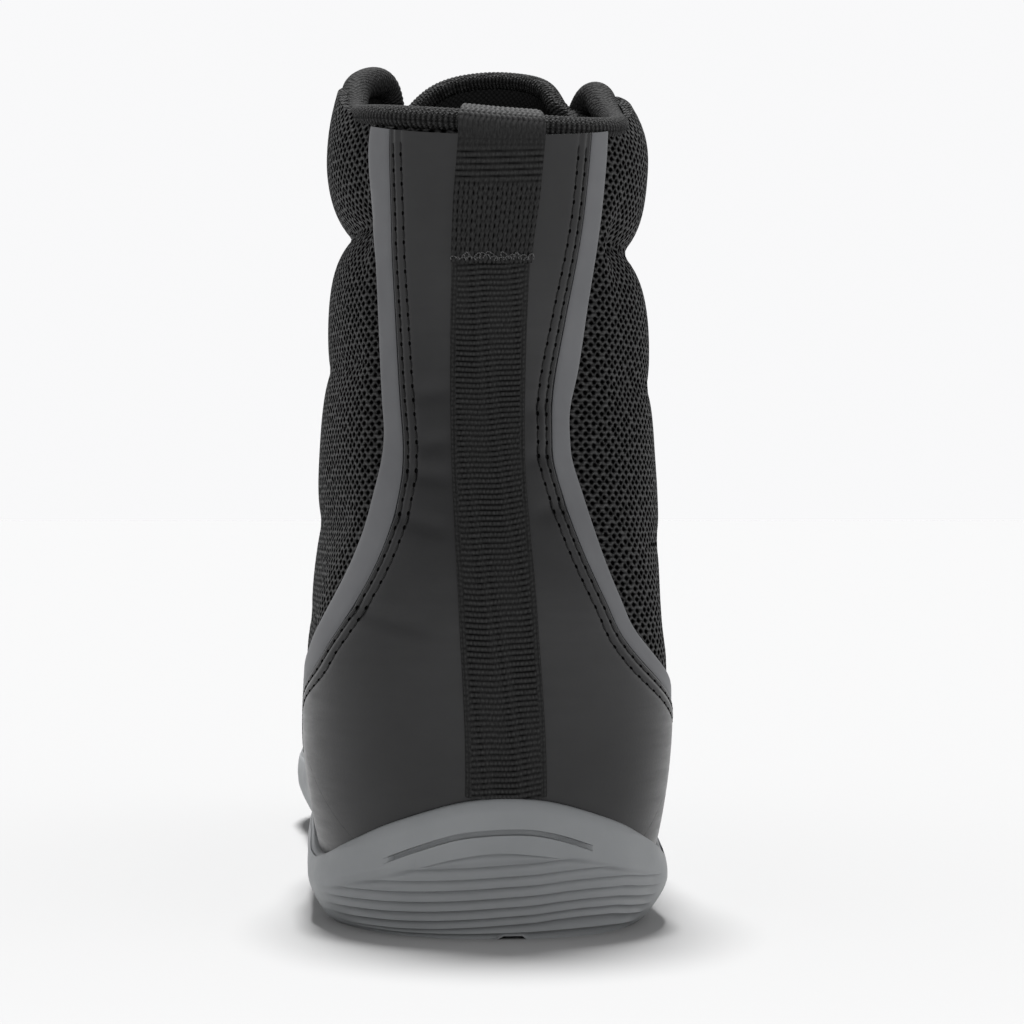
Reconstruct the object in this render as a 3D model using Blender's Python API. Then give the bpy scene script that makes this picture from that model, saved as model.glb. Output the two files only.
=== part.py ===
"""Right boxing shoe: cup sole, hollow upper on a right last, overlays, binding, tongue and lace."""
import bpy
import bmesh
import numpy as np

MM = 0.001
NAME = "boxing_shoe_right"

# Thicknesses and gaps in millimetres.
WALL = 2.2
GAP = 0.35
PANEL_LIFT = 0.5
PANEL_THICK = 0.8
TRIM_THICK = 0.5
WEB_THICK = 0.8
LOOP_THICK = 0.9
LOOP_LOW = 137.0
LOOP_HALF = 8.2
INSOLE_THICK = 3.5
LIP_WALL = 2.0
FLOOR_DROP = 0.8
ROLL_R = 2.6
TONGUE_THICK = 3.6
TONGUE_ROLL_R = 2.0
COLLAR_TUCK = 4.0
THROAT_LEAN = 2.5
STAY_WIDE = 22.0
STAY_THICK = 1.0
STAY_LIFT = 0.75
LACE_R = 1.5
LACE_TURN = 2.4

# Rear outline of the upper: height, distance ahead of the heel, sideways place of the back seam.
BACK_LINE = (
    (0, 7.5, 0.7), (8, 5.0, 0.7), (16, 2.6, 0.7), (29, 0.9, 0.7), (40, 0.1, 0.5), (50, 0.0, 0.0), (60, 0.5, -0.6),
    (70, 1.8, -1.1), (80, 4.0, -1.7), (90, 6.8, -2.2), (100, 9.5, -2.4), (110, 11.8, -2.3), (120, 13.2, -2.1),
    (130, 13.6, -1.8), (140, 13.0, -1.4), (150, 11.6, -0.6), (160, 10.0, 0.2), (170, 8.6, 0.8), (210, 4.5, 1.0),
)
# Front outline from toe tip over vamp and instep: height, distance ahead of the heel.
FRONT_LINE = (
    (0, 281.6), (8, 283.4), (16, 284.6), (22, 284.2), (30, 281.0), (38, 274.6), (44, 265.6), (50, 251.4),
    (55.5, 232.4), (61.5, 210.0), (69, 186.0), (79, 160.0), (92, 141.0), (110, 128.5), (140, 118.5),
    (170, 114.5), (190, 112.6), (210, 111.4),
)
# Last in plan: distance from heel, centre line, half width of sole, half width of upper, height of widest line.
PLAN = (
    (-5, -0.6, 37.0, 37.4, 47), (40, -0.8, 37.2, 37.8, 47), (60, -0.9, 37.0, 38.0, 46), (80, 0.0, 36.6, 37.8, 42),
    (110, 2.2, 36.0, 37.4, 36), (140, 4.6, 38.5, 38.2, 30), (170, 6.2, 43.5, 41.2, 26), (200, 6.2, 46.8, 43.4, 24),
    (215, 5.2, 47.0, 43.8, 23.5), (235, 2.4, 46.0, 42.8, 23), (255, -1.6, 43.5, 40.4, 21), (270, -5.0, 41.0, 38.2, 19),
    (290, -8.5, 38.0, 35.5, 16),
)
# Shaft: height, half width, sideways shift.
SHAFT = (
    (40, 40.4, -0.9), (60, 39.5, -0.2), (70, 39.4, 0.9), (80, 38.8, 1.4), (90, 38.0, 1.1), (100, 37.3, 1.0),
    (112, 36.8, 1.1), (125, 36.0, 1.1), (145, 35.6, 0.8), (160, 35.6, 0.5), (176, 34.2, 0.5), (210, 33.0, 0.5),
)
# Quilting seams round the padded sides: height, depth, reach.
QUILTS = ((144.6, 6.4, 6.0), (115.5, 1.7, 6.0), (82.0, 1.5, 6.0), (62.0, 0.8, 5.0))
QUILT_LEAN = 1.9
# Underside of the sole and cup floor: distance from heel, arch lift, floor height.
SOLE_LINE = (
    (-5, 0.0, 8.0), (66, 0.0, 8.0), (90, 1.8, 7.8), (110, 2.4, 7.4), (135, 1.6, 7.0), (162, 0.0, 6.6), (222, 0.0, 6.5),
    (290, 0.0, 6.5),
)
SPRING_START = 222.0
SPRING_RATE = 0.0023
# Top edge of the sole: distance from heel, height.
LIP = (
    (-5, 29.3), (1, 29.0), (4.5, 26.6), (11, 22.8), (19, 19.1), (29, 15.6), (42, 13.8), (55, 14.2), (75, 16.5),
    (110, 19.5), (150, 20.5), (200, 20.8), (240, 21.0), (265, 23.5), (290, 29.0),
)
# Side of the sole from ground to lip: share of height, offset from the lip.
ROLL = (
    (0.0, -4.4), (0.06, -3.2), (0.15, -2.2), (0.3, -0.9), (0.5, 0.3), (0.7, 0.6), (0.9, 0.2), (1.0, -0.4),
)
HEEL_BEVEL = 3.4
# Upper limit of the ridged field behind the heel: distance from centre, height.
RIDGE_TOP = ((0, 18.2), (12, 17.0), (20, 14.2), (25, 11.8), (30, 9.4), (35, 6.5), (39, 3.2), (70, -9.0))
RIDGE_LEVELS = (1.6, 3.5, 5.4, 7.5, 9.5, 11.9, 14.3)
RIDGE_STEP = 0.7
ARC_DEEP = 0.8
ARC_HALF = 23.0
SOLE_BACK = -3.0
SOLE_FRONT = 287.5
RING = 32
PANEL_FRONT = 142.0
# Heel panel edge, measured round the shoe from the back seam: height, lateral, medial.
PANEL_EDGE = (
    (8, 147, 147), (14, 134, 134), (20, 118, 120), (30, 92, 98), (40, 66, 78), (47, 48, 62), (54, 34.5, 46.5),
    (60, 27.5, 38.5), (68, 23.2, 30.6), (78, 18.8, 23.6), (88, 15.5, 19.2), (99, 13.2, 17.4), (110, 13.4, 18.2),
    (126, 16.2, 19.6), (142, 19.0, 21.4), (165, 19.6, 24.6), (180, 20, 25.5),
)
# Trim band along that edge: height, lateral width, medial width.
TRIM_WIDE = (
    (0, 3.6, 5.0), (50, 4.2, 6.2), (67, 4.0, 6.9), (87, 5.0, 7.0), (105, 4.2, 4.6), (116, 5.4, 4.6), (136, 5.0, 4.6),
    (155, 5.0, 6.6), (180, 5.0, 7.0),
)
# Webbing half width: height, half width.
WEB_HALF = ((20, 8.0), (47, 7.8), (70, 7.6), (95, 7.2), (115, 7.4), (140, 7.7), (165, 8.3))
# Sections fanned from the toe to the collar: foot on the sole, foot on the back line, head on the front line,
# half width of the throat.
SECTIONS = (
    (284.5, None, 20.0, 0.0), (281.0, None, 30.0, 0.0), (274.0, None, 37.5, 0.0), (262.0, None, 43.5, 0.0),
    (247.0, None, 49.0, 0.0), (230.0, None, 54.0, 0.0), (212.0, None, 59.0, 0.0), (194.0, None, 64.0, 0.0),
    (176.0, None, 69.5, 0.0), (158.0, None, 75.0, 9.0), (140.0, None, 81.0, 11.0), (122.0, None, 87.0, 12.0),
    (104.0, None, 93.0, 12.8), (86.0, None, 99.0, 13.4), (68.0, None, 104.5, 14.0), (50.0, None, 110.0, 14.6),
    (34.0, None, 115.0, 15.2), (21.0, None, 119.0, 15.8), (13.0, None, 122.5, 16.0), (8.2, None, 125.0, 16.2),
    (5.9, None, 126.6, 16.4), (5.1, None, 128.0, 16.6),
    (None, 18.0, 130.0, 16.9), (None, 29.3, 133.0, 17.2), (None, 42.0, 136.5, 17.5), (None, 56.0, 140.0, 17.8),
    (None, 70.0, 144.0, 18.0), (None, 84.0, 148.5, 18.3), (None, 98.0, 153.0, 18.6), (None, 112.0, 158.0, 18.9),
    (None, 126.0, 164.0, 19.2), (None, 140.0, 171.0, 19.5), (None, 152.0, 178.0, 19.8), (None, 163.5, 185.5, 20.0),
    (None, 176.0, 197.0, 20.0),
)
HEADS = [row[2] for row in SECTIONS]
BACKS = [row[1] for row in SECTIONS if row[1] is not None]
CORNER = len(SECTIONS) - len(BACKS) - 1
BACK_LIP = CORNER + 2
SHAFT_ROW = CORNER + 5
TOP = len(SECTIONS) - 2
FINE = 6
COLS = 81
HEEL_ROUND = 36.0
TOE_ROUND = 60.0
LATERAL = 0
MEDIAL = 1
SIGN = (1.0, -1.0)


def smooth(rows, column, x):
    """Smooth curve through one column of a table."""
    table = np.array(rows, float)
    xs = table[:, 0]
    ys = table[:, column]
    rate = np.diff(ys) / np.diff(xs)
    slope = np.concatenate([rate[:1], (rate[:-1] + rate[1:]) / 2, rate[-1:]])
    slope[1:-1] = np.where(rate[:-1] * rate[1:] <= 0, 0.0, slope[1:-1])
    x = np.clip(np.asarray(x, float), xs[0], xs[-1])
    i = np.clip(np.searchsorted(xs, x) - 1, 0, len(xs) - 2)
    h = xs[i + 1] - xs[i]
    t = (x - xs[i]) / h
    rise = ys[i] * (1 + 2 * t) * (1 - t) ** 2 + ys[i + 1] * t * t * (3 - 2 * t)
    return rise + h * slope[i] * t * (1 - t) ** 2 - h * slope[i + 1] * t * t * (1 - t)


def step(lo, hi, x):
    """Soft step from 0 to 1."""
    t = np.clip((np.asarray(x, float) - lo) / (hi - lo), 0, 1)
    return t * t * (3 - 2 * t)


def round_end(u, power):
    """Rounded end of an outline, 0 at the tip and 1 at full width."""
    u = np.clip(u, 0, 1)
    return (1 - (1 - u) ** power) ** (1 / power)


def back_y(z):
    return smooth(BACK_LINE, 1, z)


def front_y(z):
    return smooth(FRONT_LINE, 1, z)


FRONT_Z = np.linspace(20.0, 210.0, 400)
FRONT_Y = front_y(FRONT_Z)


def top_z(y):
    """Height of the vamp and instep above a station."""
    high = np.interp(y, FRONT_Y[::-1], FRONT_Z[::-1])
    return high + 40 * np.maximum(FRONT_Y[-1] - y, 0)


def spring(y):
    return SPRING_RATE * np.maximum(np.asarray(y, float) - SPRING_START, 0) ** 2


def floor_z(y):
    return smooth(SOLE_LINE, 2, y) + 0.85 * spring(y)


def under_z(y):
    return smooth(SOLE_LINE, 1, y) + spring(y)


def lip_z(y):
    return smooth(LIP, 1, y)


def centre_x(y, z):
    """Middle of the upper at a station and height, drawn to the back seam behind."""
    mix = step(55, 85, z)
    middle = smooth(PLAN, 1, y) * (1 - mix) + smooth(SHAFT, 2, z) * mix
    seam = step(38, 0, y - back_y(z))
    return middle * (1 - seam) + smooth(BACK_LINE, 2, z) * seam


def half_width(y, z, lean=0.0):
    """Half width of the upper at a station and height, with its quilting raised by lean."""
    y = np.asarray(y, float)
    z = np.asarray(z, float)
    heel = back_y(z)
    reach = front_y(z) - heel
    along = np.clip((y - heel) / reach, 0, 1)
    wide = smooth(PLAN, 4, y)
    rise = np.clip((z - wide) / np.maximum(top_z(y) - wide, 1.0), 0, 1)
    dome = (1 - rise ** 2.3) ** (1 / 2.3)
    tuck = np.clip((wide - z) / wide, 0, 1)
    tuck = 1 - (0.08 + 0.13 * step(120, 60, y)) * tuck ** 2
    ends = round_end((y - heel) / HEEL_ROUND, 2.15) * round_end((front_y(np.minimum(z, 18)) - y) / TOE_ROUND, 2.0)
    foot = smooth(PLAN, 3, y) * ends * dome * tuck
    shaft = smooth(SHAFT, 1, z) * (1 - np.abs(2 * along - 1) ** 2.2) ** (1 / 2.2)
    mix = step(55, 100, z)
    quilt = sum(depth * np.exp(-np.abs(z - level - lean) / width) for level, depth, width in QUILTS)
    quilt = quilt * step(0.05, 0.2, along) * step(0.86, 0.7, along) * step(50, 62, z)
    return np.maximum(foot * (1 - mix) + shaft * mix - quilt, 0)


def head_row(z):
    """Section that meets the front line at a height."""
    return float(np.interp(z, HEADS, range(len(SECTIONS))))


def back_row(z):
    """Section that meets the back line at a height."""
    return float(np.interp(z, BACKS, range(CORNER + 1, len(SECTIONS))))


def section_ends(t):
    """Foot and head of a section in the side view."""
    i = int(min(max(np.floor(t), 0), len(SECTIONS) - 2))
    k = t - i
    low = SECTIONS[i]
    high = SECTIONS[i + 1]
    head_z = np.interp(t, range(len(SECTIONS)), HEADS)
    if i < CORNER:
        foot_y = low[0] * (1 - k) + high[0] * k
        foot = (foot_y, float(floor_z(foot_y)) + GAP)
    else:
        start = float(floor_z(5.1)) + GAP if low[1] is None else low[1]
        foot_z = start * (1 - k) + high[1] * k
        foot = (float(back_y(foot_z)), foot_z)
    return foot, (float(front_y(head_z)), float(head_z))


def collar_tuck(t, share):
    """Inward turn of the padded sides below the collar rim."""
    near = np.clip(t - TOP + 1.0, 0, 1) ** 2
    return COLLAR_TUCK * near * step(0.06, 0.24, share) * step(0.97, 0.78, share)


def make_skin():
    """Outer surface of the upper as two half grids, with outward normals and section lengths."""
    count = (len(SECTIONS) - 1) * FINE + 1
    point = np.zeros((2, count, COLS, 3))
    length = np.zeros((2, count))
    spread = (1 - np.cos(np.linspace(0, np.pi, 241))) / 2
    share = np.linspace(0, 1, COLS)
    for r in range(count):
        foot, head = section_ends(r / FINE)
        y = foot[0] + (head[0] - foot[0]) * spread
        z = foot[1] + (head[1] - foot[1]) * spread
        for side in (LATERAL, MEDIAL):
            wide = half_width(y, z, -QUILT_LEAN * SIGN[side]) * (r > 0)
            wide = np.maximum(wide - collar_tuck(r / FINE, spread), 0)
            wide[-1] = 0.0
            wide[0] *= r < CORNER * FINE
            line = np.stack([centre_x(y, z) + SIGN[side] * wide, y, z], axis=1)
            run = np.concatenate([[0], np.cumsum(np.linalg.norm(np.diff(line, axis=0), axis=1))])
            length[side, r] = run[-1]
            for axis in range(3):
                point[side, r, :, axis] = np.interp(share * run[-1], run, line[:, axis])
    normal = np.zeros_like(point)
    for side in (LATERAL, MEDIAL):
        along = np.gradient(point[side], axis=0)
        across = np.gradient(point[side], axis=1)
        out = np.cross(along, across) * -SIGN[side]
        normal[side] = out / np.maximum(np.linalg.norm(out, axis=2, keepdims=True), 1e-9)
    if normal[LATERAL, count // 2, COLS // 2, 0] < 0:
        normal = -normal
    for rows, cols in ((slice(None), -1), (slice(CORNER * FINE, None), 0), (0, slice(None))):
        mean = normal[LATERAL, rows, cols] + normal[MEDIAL, rows, cols]
        mean = mean / np.maximum(np.linalg.norm(mean, axis=-1, keepdims=True), 1e-9)
        normal[:, rows, cols] = mean
    normal[:, 0, -1] = normal[:, 0, -2]
    return point, normal, length


SKIN, SKIN_N, SKIN_LEN = make_skin()


def lookup(grid, side, t, f):
    """Value of a skin grid between its nodes."""
    r = min(max(t * FINE, 0), grid.shape[1] - 1)
    c = min(max(f * (COLS - 1), 0), COLS - 1)
    i = min(int(r), grid.shape[1] - 2)
    j = min(int(c), COLS - 2)
    a = r - i
    b = c - j
    low = grid[side, i, j] * (1 - b) + grid[side, i, j + 1] * b
    high = grid[side, i + 1, j] * (1 - b) + grid[side, i + 1, j + 1] * b
    return low * (1 - a) + high * a


def skin(side, t, f, off=0.0):
    """Point on the skin, moved outward by off."""
    n = lookup(SKIN_N, side, t, f)
    return lookup(SKIN, side, t, f) + n * off / max(np.linalg.norm(n), 1e-9)


def row_line(side, t):
    """Dense points along one half section."""
    return np.array([lookup(SKIN, side, t, f) for f in np.linspace(0, 1, COLS)])


def row_length(side, t):
    return float(np.interp(t * FINE, range(SKIN_LEN.shape[1]), SKIN_LEN[side]))


def crossing(values):
    """Share along a half section where a value first turns positive."""
    if values[0] > 0:
        return 0.0
    hits = np.nonzero(values > 0)[0]
    if len(hits) == 0:
        return 1.0
    j = hits[0]
    part = -values[j - 1] / (values[j] - values[j - 1])
    return float((j - 1 + part) / (COLS - 1))


def throat_share(side, t):
    """Share along a half section where the throat begins."""
    half = float(np.interp(t, range(len(SECTIONS)), [row[3] for row in SECTIONS]))
    if half <= 0:
        return 1.0
    half += SIGN[side] * THROAT_LEAN * float(step(SHAFT_ROW, TOP, t))
    line = row_line(side, t)
    away = np.abs(line[:, 0] - centre_x(line[:, 1], line[:, 2]))
    back = crossing((half - away)[COLS // 2:])
    return (COLS // 2 + back * (COLS - 1)) / (COLS - 1)


def make_wrap():
    """Distance round the shoe from the back seam, per height and share from back to front."""
    levels = np.arange(0.0, 206.0, 1.0)
    spread = (1 - np.cos(np.linspace(0, np.pi, 201))) / 2
    table = np.zeros((2, len(levels), len(spread)))
    for i, z in enumerate(levels):
        y = back_y(z) + (front_y(z) - back_y(z)) * spread
        for side in (LATERAL, MEDIAL):
            x = centre_x(y, z) + SIGN[side] * half_width(y, z)
            table[side, i, 1:] = np.cumsum(np.hypot(np.diff(x), np.diff(y)))
    return levels, spread, table


WRAP_LEVELS, WRAP_SPREAD, WRAP = make_wrap()


def wrap_at(side, y, z):
    """Distance round the shoe from the back seam to a point."""
    heel = back_y(z)
    share = np.clip((y - heel) / (front_y(z) - heel), 0, 1)
    i = int(np.clip(z, 0, len(WRAP_LEVELS) - 2))
    k = z - i
    row = WRAP[side, i] * (1 - k) + WRAP[side, i + 1] * k
    return float(np.interp(share, WRAP_SPREAD, row))


def panel_share(side, t, gap=0.0, band=0.0):
    """Share along a half section where the heel panel ends, or its trim band at a gap and part of its width."""
    line = row_line(side, t)
    z = line[:, 2]
    slope = smooth(PANEL_EDGE, 1 + side, z + 0.5) - smooth(PANEL_EDGE, 1 + side, z - 0.5)
    beyond = (gap + band * smooth(TRIM_WIDE, 1 + side, z)) * np.hypot(1, slope)
    edge = smooth(PANEL_EDGE, 1 + side, z) + beyond
    away = np.array([wrap_at(side, p[1], p[2]) for p in line])
    return crossing(away - edge)


def weld_grid(rows, limits, cols, skip=None, sides=(LATERAL, MEDIAL)):
    """Quads of a skin patch over both sides, with coincident points joined."""
    index = {}
    points = []
    normals = []
    faces = []

    def add(side, t, f):
        p = lookup(SKIN, side, t, f)
        n = lookup(SKIN_N, side, t, f)
        key = tuple(np.round(p, 3))
        if key not in index:
            index[key] = len(points)
            points.append(p)
            normals.append(n)
        return index[key]

    for side in sides:
        shares = [limits(side, t) for t in rows]
        ids = [[add(side, t, lo + (hi - lo) * c) for c in cols(side, t)] for t, (lo, hi) in zip(rows, shares)]
        for r in range(len(rows) - 1):
            for c in range(len(ids[0]) - 1):
                if skip and skip(r, c):
                    continue
                loop = [ids[r][c], ids[r][c + 1], ids[r + 1][c + 1], ids[r + 1][c]]
                loop = [v for k, v in enumerate(loop) if v != loop[k - 1]]
                if len(set(loop)) < 3:
                    continue
                faces.append(loop if side == MEDIAL else loop[::-1])
    points = np.array(points)
    normals = np.array(normals)
    normals /= np.linalg.norm(normals, axis=1, keepdims=True)
    return points, normals, faces_out(points, normals, faces)


def faces_out(points, normals, faces):
    """Loops of a patch, all turned over if most of them face against the normals."""
    facing = 0.0
    for loop in faces:
        a, b, c = points[loop[0]], points[loop[1]], points[loop[2]]
        facing += np.dot(np.cross(b - a, c - a), normals[loop[0]])
    return faces if facing > 0 else [loop[::-1] for loop in faces]


def even(count):
    """Column shares of a patch with equal steps."""
    return lambda side, t: np.linspace(0, 1, count + 1)


def thicken(points, normals, faces, lo, hi):
    """Closed shell between two offsets of a patch."""
    count = len(points)
    lo = np.broadcast_to(lo, (count,))[:, None]
    hi = np.broadcast_to(hi, (count,))[:, None]
    verts = np.concatenate([points + normals * hi, points + normals * lo])
    solid = [list(loop) for loop in faces] + [[v + count for v in loop[::-1]] for loop in faces]
    edges = {(loop[k - 1], loop[k]) for loop in faces for k in range(len(loop))}
    for a, b in sorted(edges):
        if (b, a) not in edges:
            solid.append([b, a, a + count, b + count])
    return verts, solid


def sheet(grid, lo, hi):
    """Closed shell round a grid of points, by its own normals."""
    rows, cols = grid.shape[:2]
    normal = np.cross(np.gradient(grid, axis=0), np.gradient(grid, axis=1))
    normal /= np.linalg.norm(normal, axis=2, keepdims=True)
    faces = []
    for r in range(rows - 1):
        for c in range(cols - 1):
            a = r * cols + c
            faces.append([a, a + cols, a + cols + 1, a + 1])
    return thicken(grid.reshape(-1, 3), normal.reshape(-1, 3), faces, lo, hi)


def tube(path, radii, sides, axis):
    """Closed cord along a path, with one radius per point and a fixed side axis."""
    path = np.array(path, float)
    ahead = np.gradient(path, axis=0)
    ahead /= np.linalg.norm(ahead, axis=1, keepdims=True)
    verts = []
    for p, d, radius, ref in zip(path, ahead, radii, np.broadcast_to(axis, path.shape)):
        u = ref - d * np.dot(ref, d)
        u /= np.linalg.norm(u)
        v = np.cross(d, u)
        for k in range(sides):
            turn = 2 * np.pi * (k + 0.5) / sides
            verts.append(p + radius * (u * np.cos(turn) + v * np.sin(turn)))
    faces = []
    for i in range(len(path) - 1):
        for k in range(sides):
            a = i * sides + k
            b = i * sides + (k + 1) % sides
            faces.append([a, b, b + sides, a + sides])
    last = (len(path) - 1) * sides
    faces.append(list(range(sides))[::-1])
    faces.append([last + k for k in range(sides)])
    return np.array(verts), faces


def upper():
    """Hollow wall of the upper, open underneath and at throat and collar."""
    rows = [float(t) for t in range(SHAFT_ROW)] + [t / 2 for t in range(2 * SHAFT_ROW, 2 * TOP + 1)]
    points, normals, faces = weld_grid(rows, lambda side, t: (0.0, throat_share(side, t)), even(12))
    return thicken(points, normals, faces, -WALL, 0.0)


def panel_rows():
    """Section rows of the heel panel, from the tips of its wings to the collar."""
    rows = [float(t) for t in range(8, TOP) if panel_share(LATERAL, t) > 0.04]
    return rows + [TOP - 0.5, TOP - 0.05]


def heel_panel():
    """Counter and back stay, from the collar down into the cup, with wings along the sole."""
    points, normals, faces = weld_grid(panel_rows(), lambda side, t: (0.0, panel_share(side, t)), even(7))
    return thicken(points, normals, faces, PANEL_LIFT, PANEL_LIFT + PANEL_THICK)


def trim(side):
    """Flat band along one edge of the heel panel."""
    limits = lambda s, t: (panel_share(s, t, GAP), panel_share(s, t, GAP, 1.0))
    points, normals, faces = weld_grid(panel_rows(), limits, even(2), sides=(side,))
    return thicken(points, normals, faces, PANEL_LIFT, PANEL_LIFT + TRIM_THICK)


def across(t, offset, half, count):
    """Points across the back seam at one section."""
    row = []
    for s in np.linspace(-half, half, count):
        side = LATERAL if s >= 0 else MEDIAL
        row.append(skin(side, t, abs(s) / row_length(side, t), offset))
    return row


def heel_webbing():
    """Webbing strip sewn up the centre of the heel panel."""
    low = PANEL_LIFT + PANEL_THICK + GAP + WEB_THICK / 2
    rows = [BACK_LIP + 0.02] + [float(t) for t in range(BACK_LIP + 1, TOP)] + [TOP - 0.12]
    grid = []
    for t in rows:
        height = section_ends(t)[0][1]
        grid.append(across(t, low, float(smooth(WEB_HALF, 1, height)), 5))
    return sheet(np.array(grid), -WEB_THICK / 2, WEB_THICK / 2)


COLLAR_UP = np.array([0.0, section_ends(TOP)[0][1] - section_ends(TOP)[1][1],
                      section_ends(TOP)[1][0] - section_ends(TOP)[0][0]])
COLLAR_UP /= np.linalg.norm(COLLAR_UP)


def roll_centre(side, f):
    """Centre of the collar roll above the rim."""
    return skin(side, TOP, f, -WALL / 2) + COLLAR_UP * (GAP + ROLL_R + 0.1)


def pull_loop():
    """Second webbing layer, folded over the collar roll to the inside."""
    out = PANEL_LIFT + PANEL_THICK + GAP + WEB_THICK + GAP + LOOP_THICK / 2
    rows = list(np.linspace(back_row(LOOP_LOW), TOP - 0.05, 7))
    grid = [across(t, out, LOOP_HALF, 5) for t in rows]
    for turn in np.radians((25, 55, 90, 125, 155, 180)):
        row = []
        for s in np.linspace(-LOOP_HALF, LOOP_HALF, 5):
            side = LATERAL if s >= 0 else MEDIAL
            f = abs(s) / row_length(side, TOP)
            n = lookup(SKIN_N, side, TOP, f)
            wide = out + WALL / 2
            high = ROLL_R + GAP + LOOP_THICK / 2 + 0.1
            row.append(roll_centre(side, f) + n * wide * np.cos(turn) + COLLAR_UP * high * np.sin(turn))
        grid.append(row)
    for t in (TOP - 0.1, TOP - 0.6):
        grid.append(across(t, -out - WALL, LOOP_HALF * 0.97, 5))
    return sheet(np.array(grid)[::-1], -LOOP_THICK / 2, LOOP_THICK / 2)


def spline(points, steps):
    """Smooth curve led by a row of control points."""
    points = np.concatenate([2 * points[:1] - points[1:2], points, 2 * points[-1:] - points[-2:-1]])
    curve = []
    for a, b, c, d in zip(points[:-3], points[1:-2], points[2:-1], points[3:]):
        for u in np.arange(steps) / steps:
            lead = a * (1 - u) ** 3 + b * (3 * u ** 3 - 6 * u ** 2 + 4)
            curve.append((lead + c * (1 + 3 * u + 3 * u ** 2 - 3 * u ** 3) + d * u ** 3) / 6)
    curve.append((points[-3] + 4 * points[-2] + points[-1]) / 6)
    return np.array(curve)


# Front corner of the collar roll and its run down the throat edge: sections below the rim, lift, reach ahead, radius.
COLLAR_EAR = ((0.0, 2.6, 3.6, 2.8), (0.5, 0.0, 3.3, 2.3), (1.1, 0.0, 2.6, 1.9), (1.7, 0.0, 2.3, 1.7), (2.3, 0.0, 2.1, 1.5))


def collar_half(side):
    """Control points of the collar roll from the back seam to its end on the throat edge, with radii."""
    limit = throat_share(side, TOP)
    rows = [np.append(roll_centre(side, limit * k), ROLL_R) for k in np.linspace(0, 0.94, 11)]
    for down, lift, reach, radius in COLLAR_EAR:
        t = TOP - down
        f = throat_share(side, t)
        edge = skin(side, t, f, -WALL / 2)
        ahead = skin(side, t, f + 0.01, -WALL / 2) - edge
        rise = COLLAR_UP * ((GAP + ROLL_R + 0.1) * (down == 0) + lift)
        rows.append(np.append(edge + ahead / np.linalg.norm(ahead) * reach + rise, radius))
    return np.array(rows)


def collar_binding():
    """Knitted roll on the collar rim, turned down along the throat edge at both front corners."""
    line = spline(np.concatenate([collar_half(MEDIAL)[:0:-1], collar_half(LATERAL)]), 2)
    side_axis = np.gradient(line[:, :3], axis=0)
    axes = np.cross(side_axis, np.cross(COLLAR_UP, side_axis) + np.array([0.0, 0.0, 1e-6]))
    return tube(line[:, :3], line[:, 3], 6, axes)


# Half width of the tongue: height of its section on the front line, half width.
TONGUE_HALF = ((64, 17), (81, 24), (127, 28), (158, 25), (169, 25), (179, 28), (186, 29.5), (197, 29.5))
TONGUE_LOW = 67.0
TONGUE_HIGH = 177.0
TONGUE_ARCH = 8.6
TONGUE_SHIFT = 5.0


def tongue_point(share, k, off):
    """Point of the tongue by share across and share along, below its outer face by off."""
    head = TONGUE_HIGH + TONGUE_ARCH * (1 - abs(share) ** 3)
    z = TONGUE_LOW + (head - TONGUE_LOW) * k
    t = head_row(z)
    away = share * float(smooth(TONGUE_HALF, 1, z)) + TONGUE_SHIFT * float(step(168, 186, z))
    side = LATERAL if away >= 0 else MEDIAL
    depth = WALL + 1.1 + 2.0 * float(step(150, 185, z))
    return skin(side, t, 1 - abs(away) / row_length(side, t), off - depth)


def tongue():
    """Padded tongue under the throat."""
    shares = np.linspace(-1, 1, 9)
    along = np.linspace(0, 1, 14)
    faces = []
    outer = np.array([[tongue_point(s, k, 0.0) for s in shares] for k in along])
    inner = np.array([[tongue_point(s, k, -TONGUE_THICK) for s in shares] for k in along])
    rows, cols = outer.shape[:2]
    for r in range(rows - 1):
        for c in range(cols - 1):
            a = r * cols + c
            faces.append([a, a + 1, a + cols + 1, a + cols])
    points = outer.reshape(-1, 3)
    normals = inner.reshape(-1, 3) - points
    return thicken(points, normals, faces_out(points, -normals, faces), 1.0, 0.0)


def tongue_binding():
    """Bound roll on the arched top edge of the tongue."""
    shares = np.linspace(-1, 1, 15)
    low = np.array([tongue_point(s, 0.985, -TONGUE_THICK / 2) for s in shares])
    high = np.array([tongue_point(s, 1.0, -TONGUE_THICK / 2) for s in shares])
    edge = np.gradient(high, axis=0)
    edge /= np.linalg.norm(edge, axis=1, keepdims=True)
    up = high - low
    up -= edge * np.sum(up * edge, axis=1, keepdims=True)
    up /= np.linalg.norm(up, axis=1, keepdims=True)
    path = high + up * (GAP + TONGUE_ROLL_R + 0.15)
    radii = [1.1] + [TONGUE_ROLL_R] * 13 + [1.1]
    return tube(path, radii, 6, np.array([0.0, 1.0, 0.2]))


EYELET_Z = (80.5, 91.0, 103.0, 116.0, 129.0, 142.0, 155.0, 167.0, 178.5)
HOLE_HALF = 2.1


def stay_share(side, t, inset):
    """Share along a half section at a distance behind the throat edge."""
    return throat_share(side, t) - inset / row_length(side, t)


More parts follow.
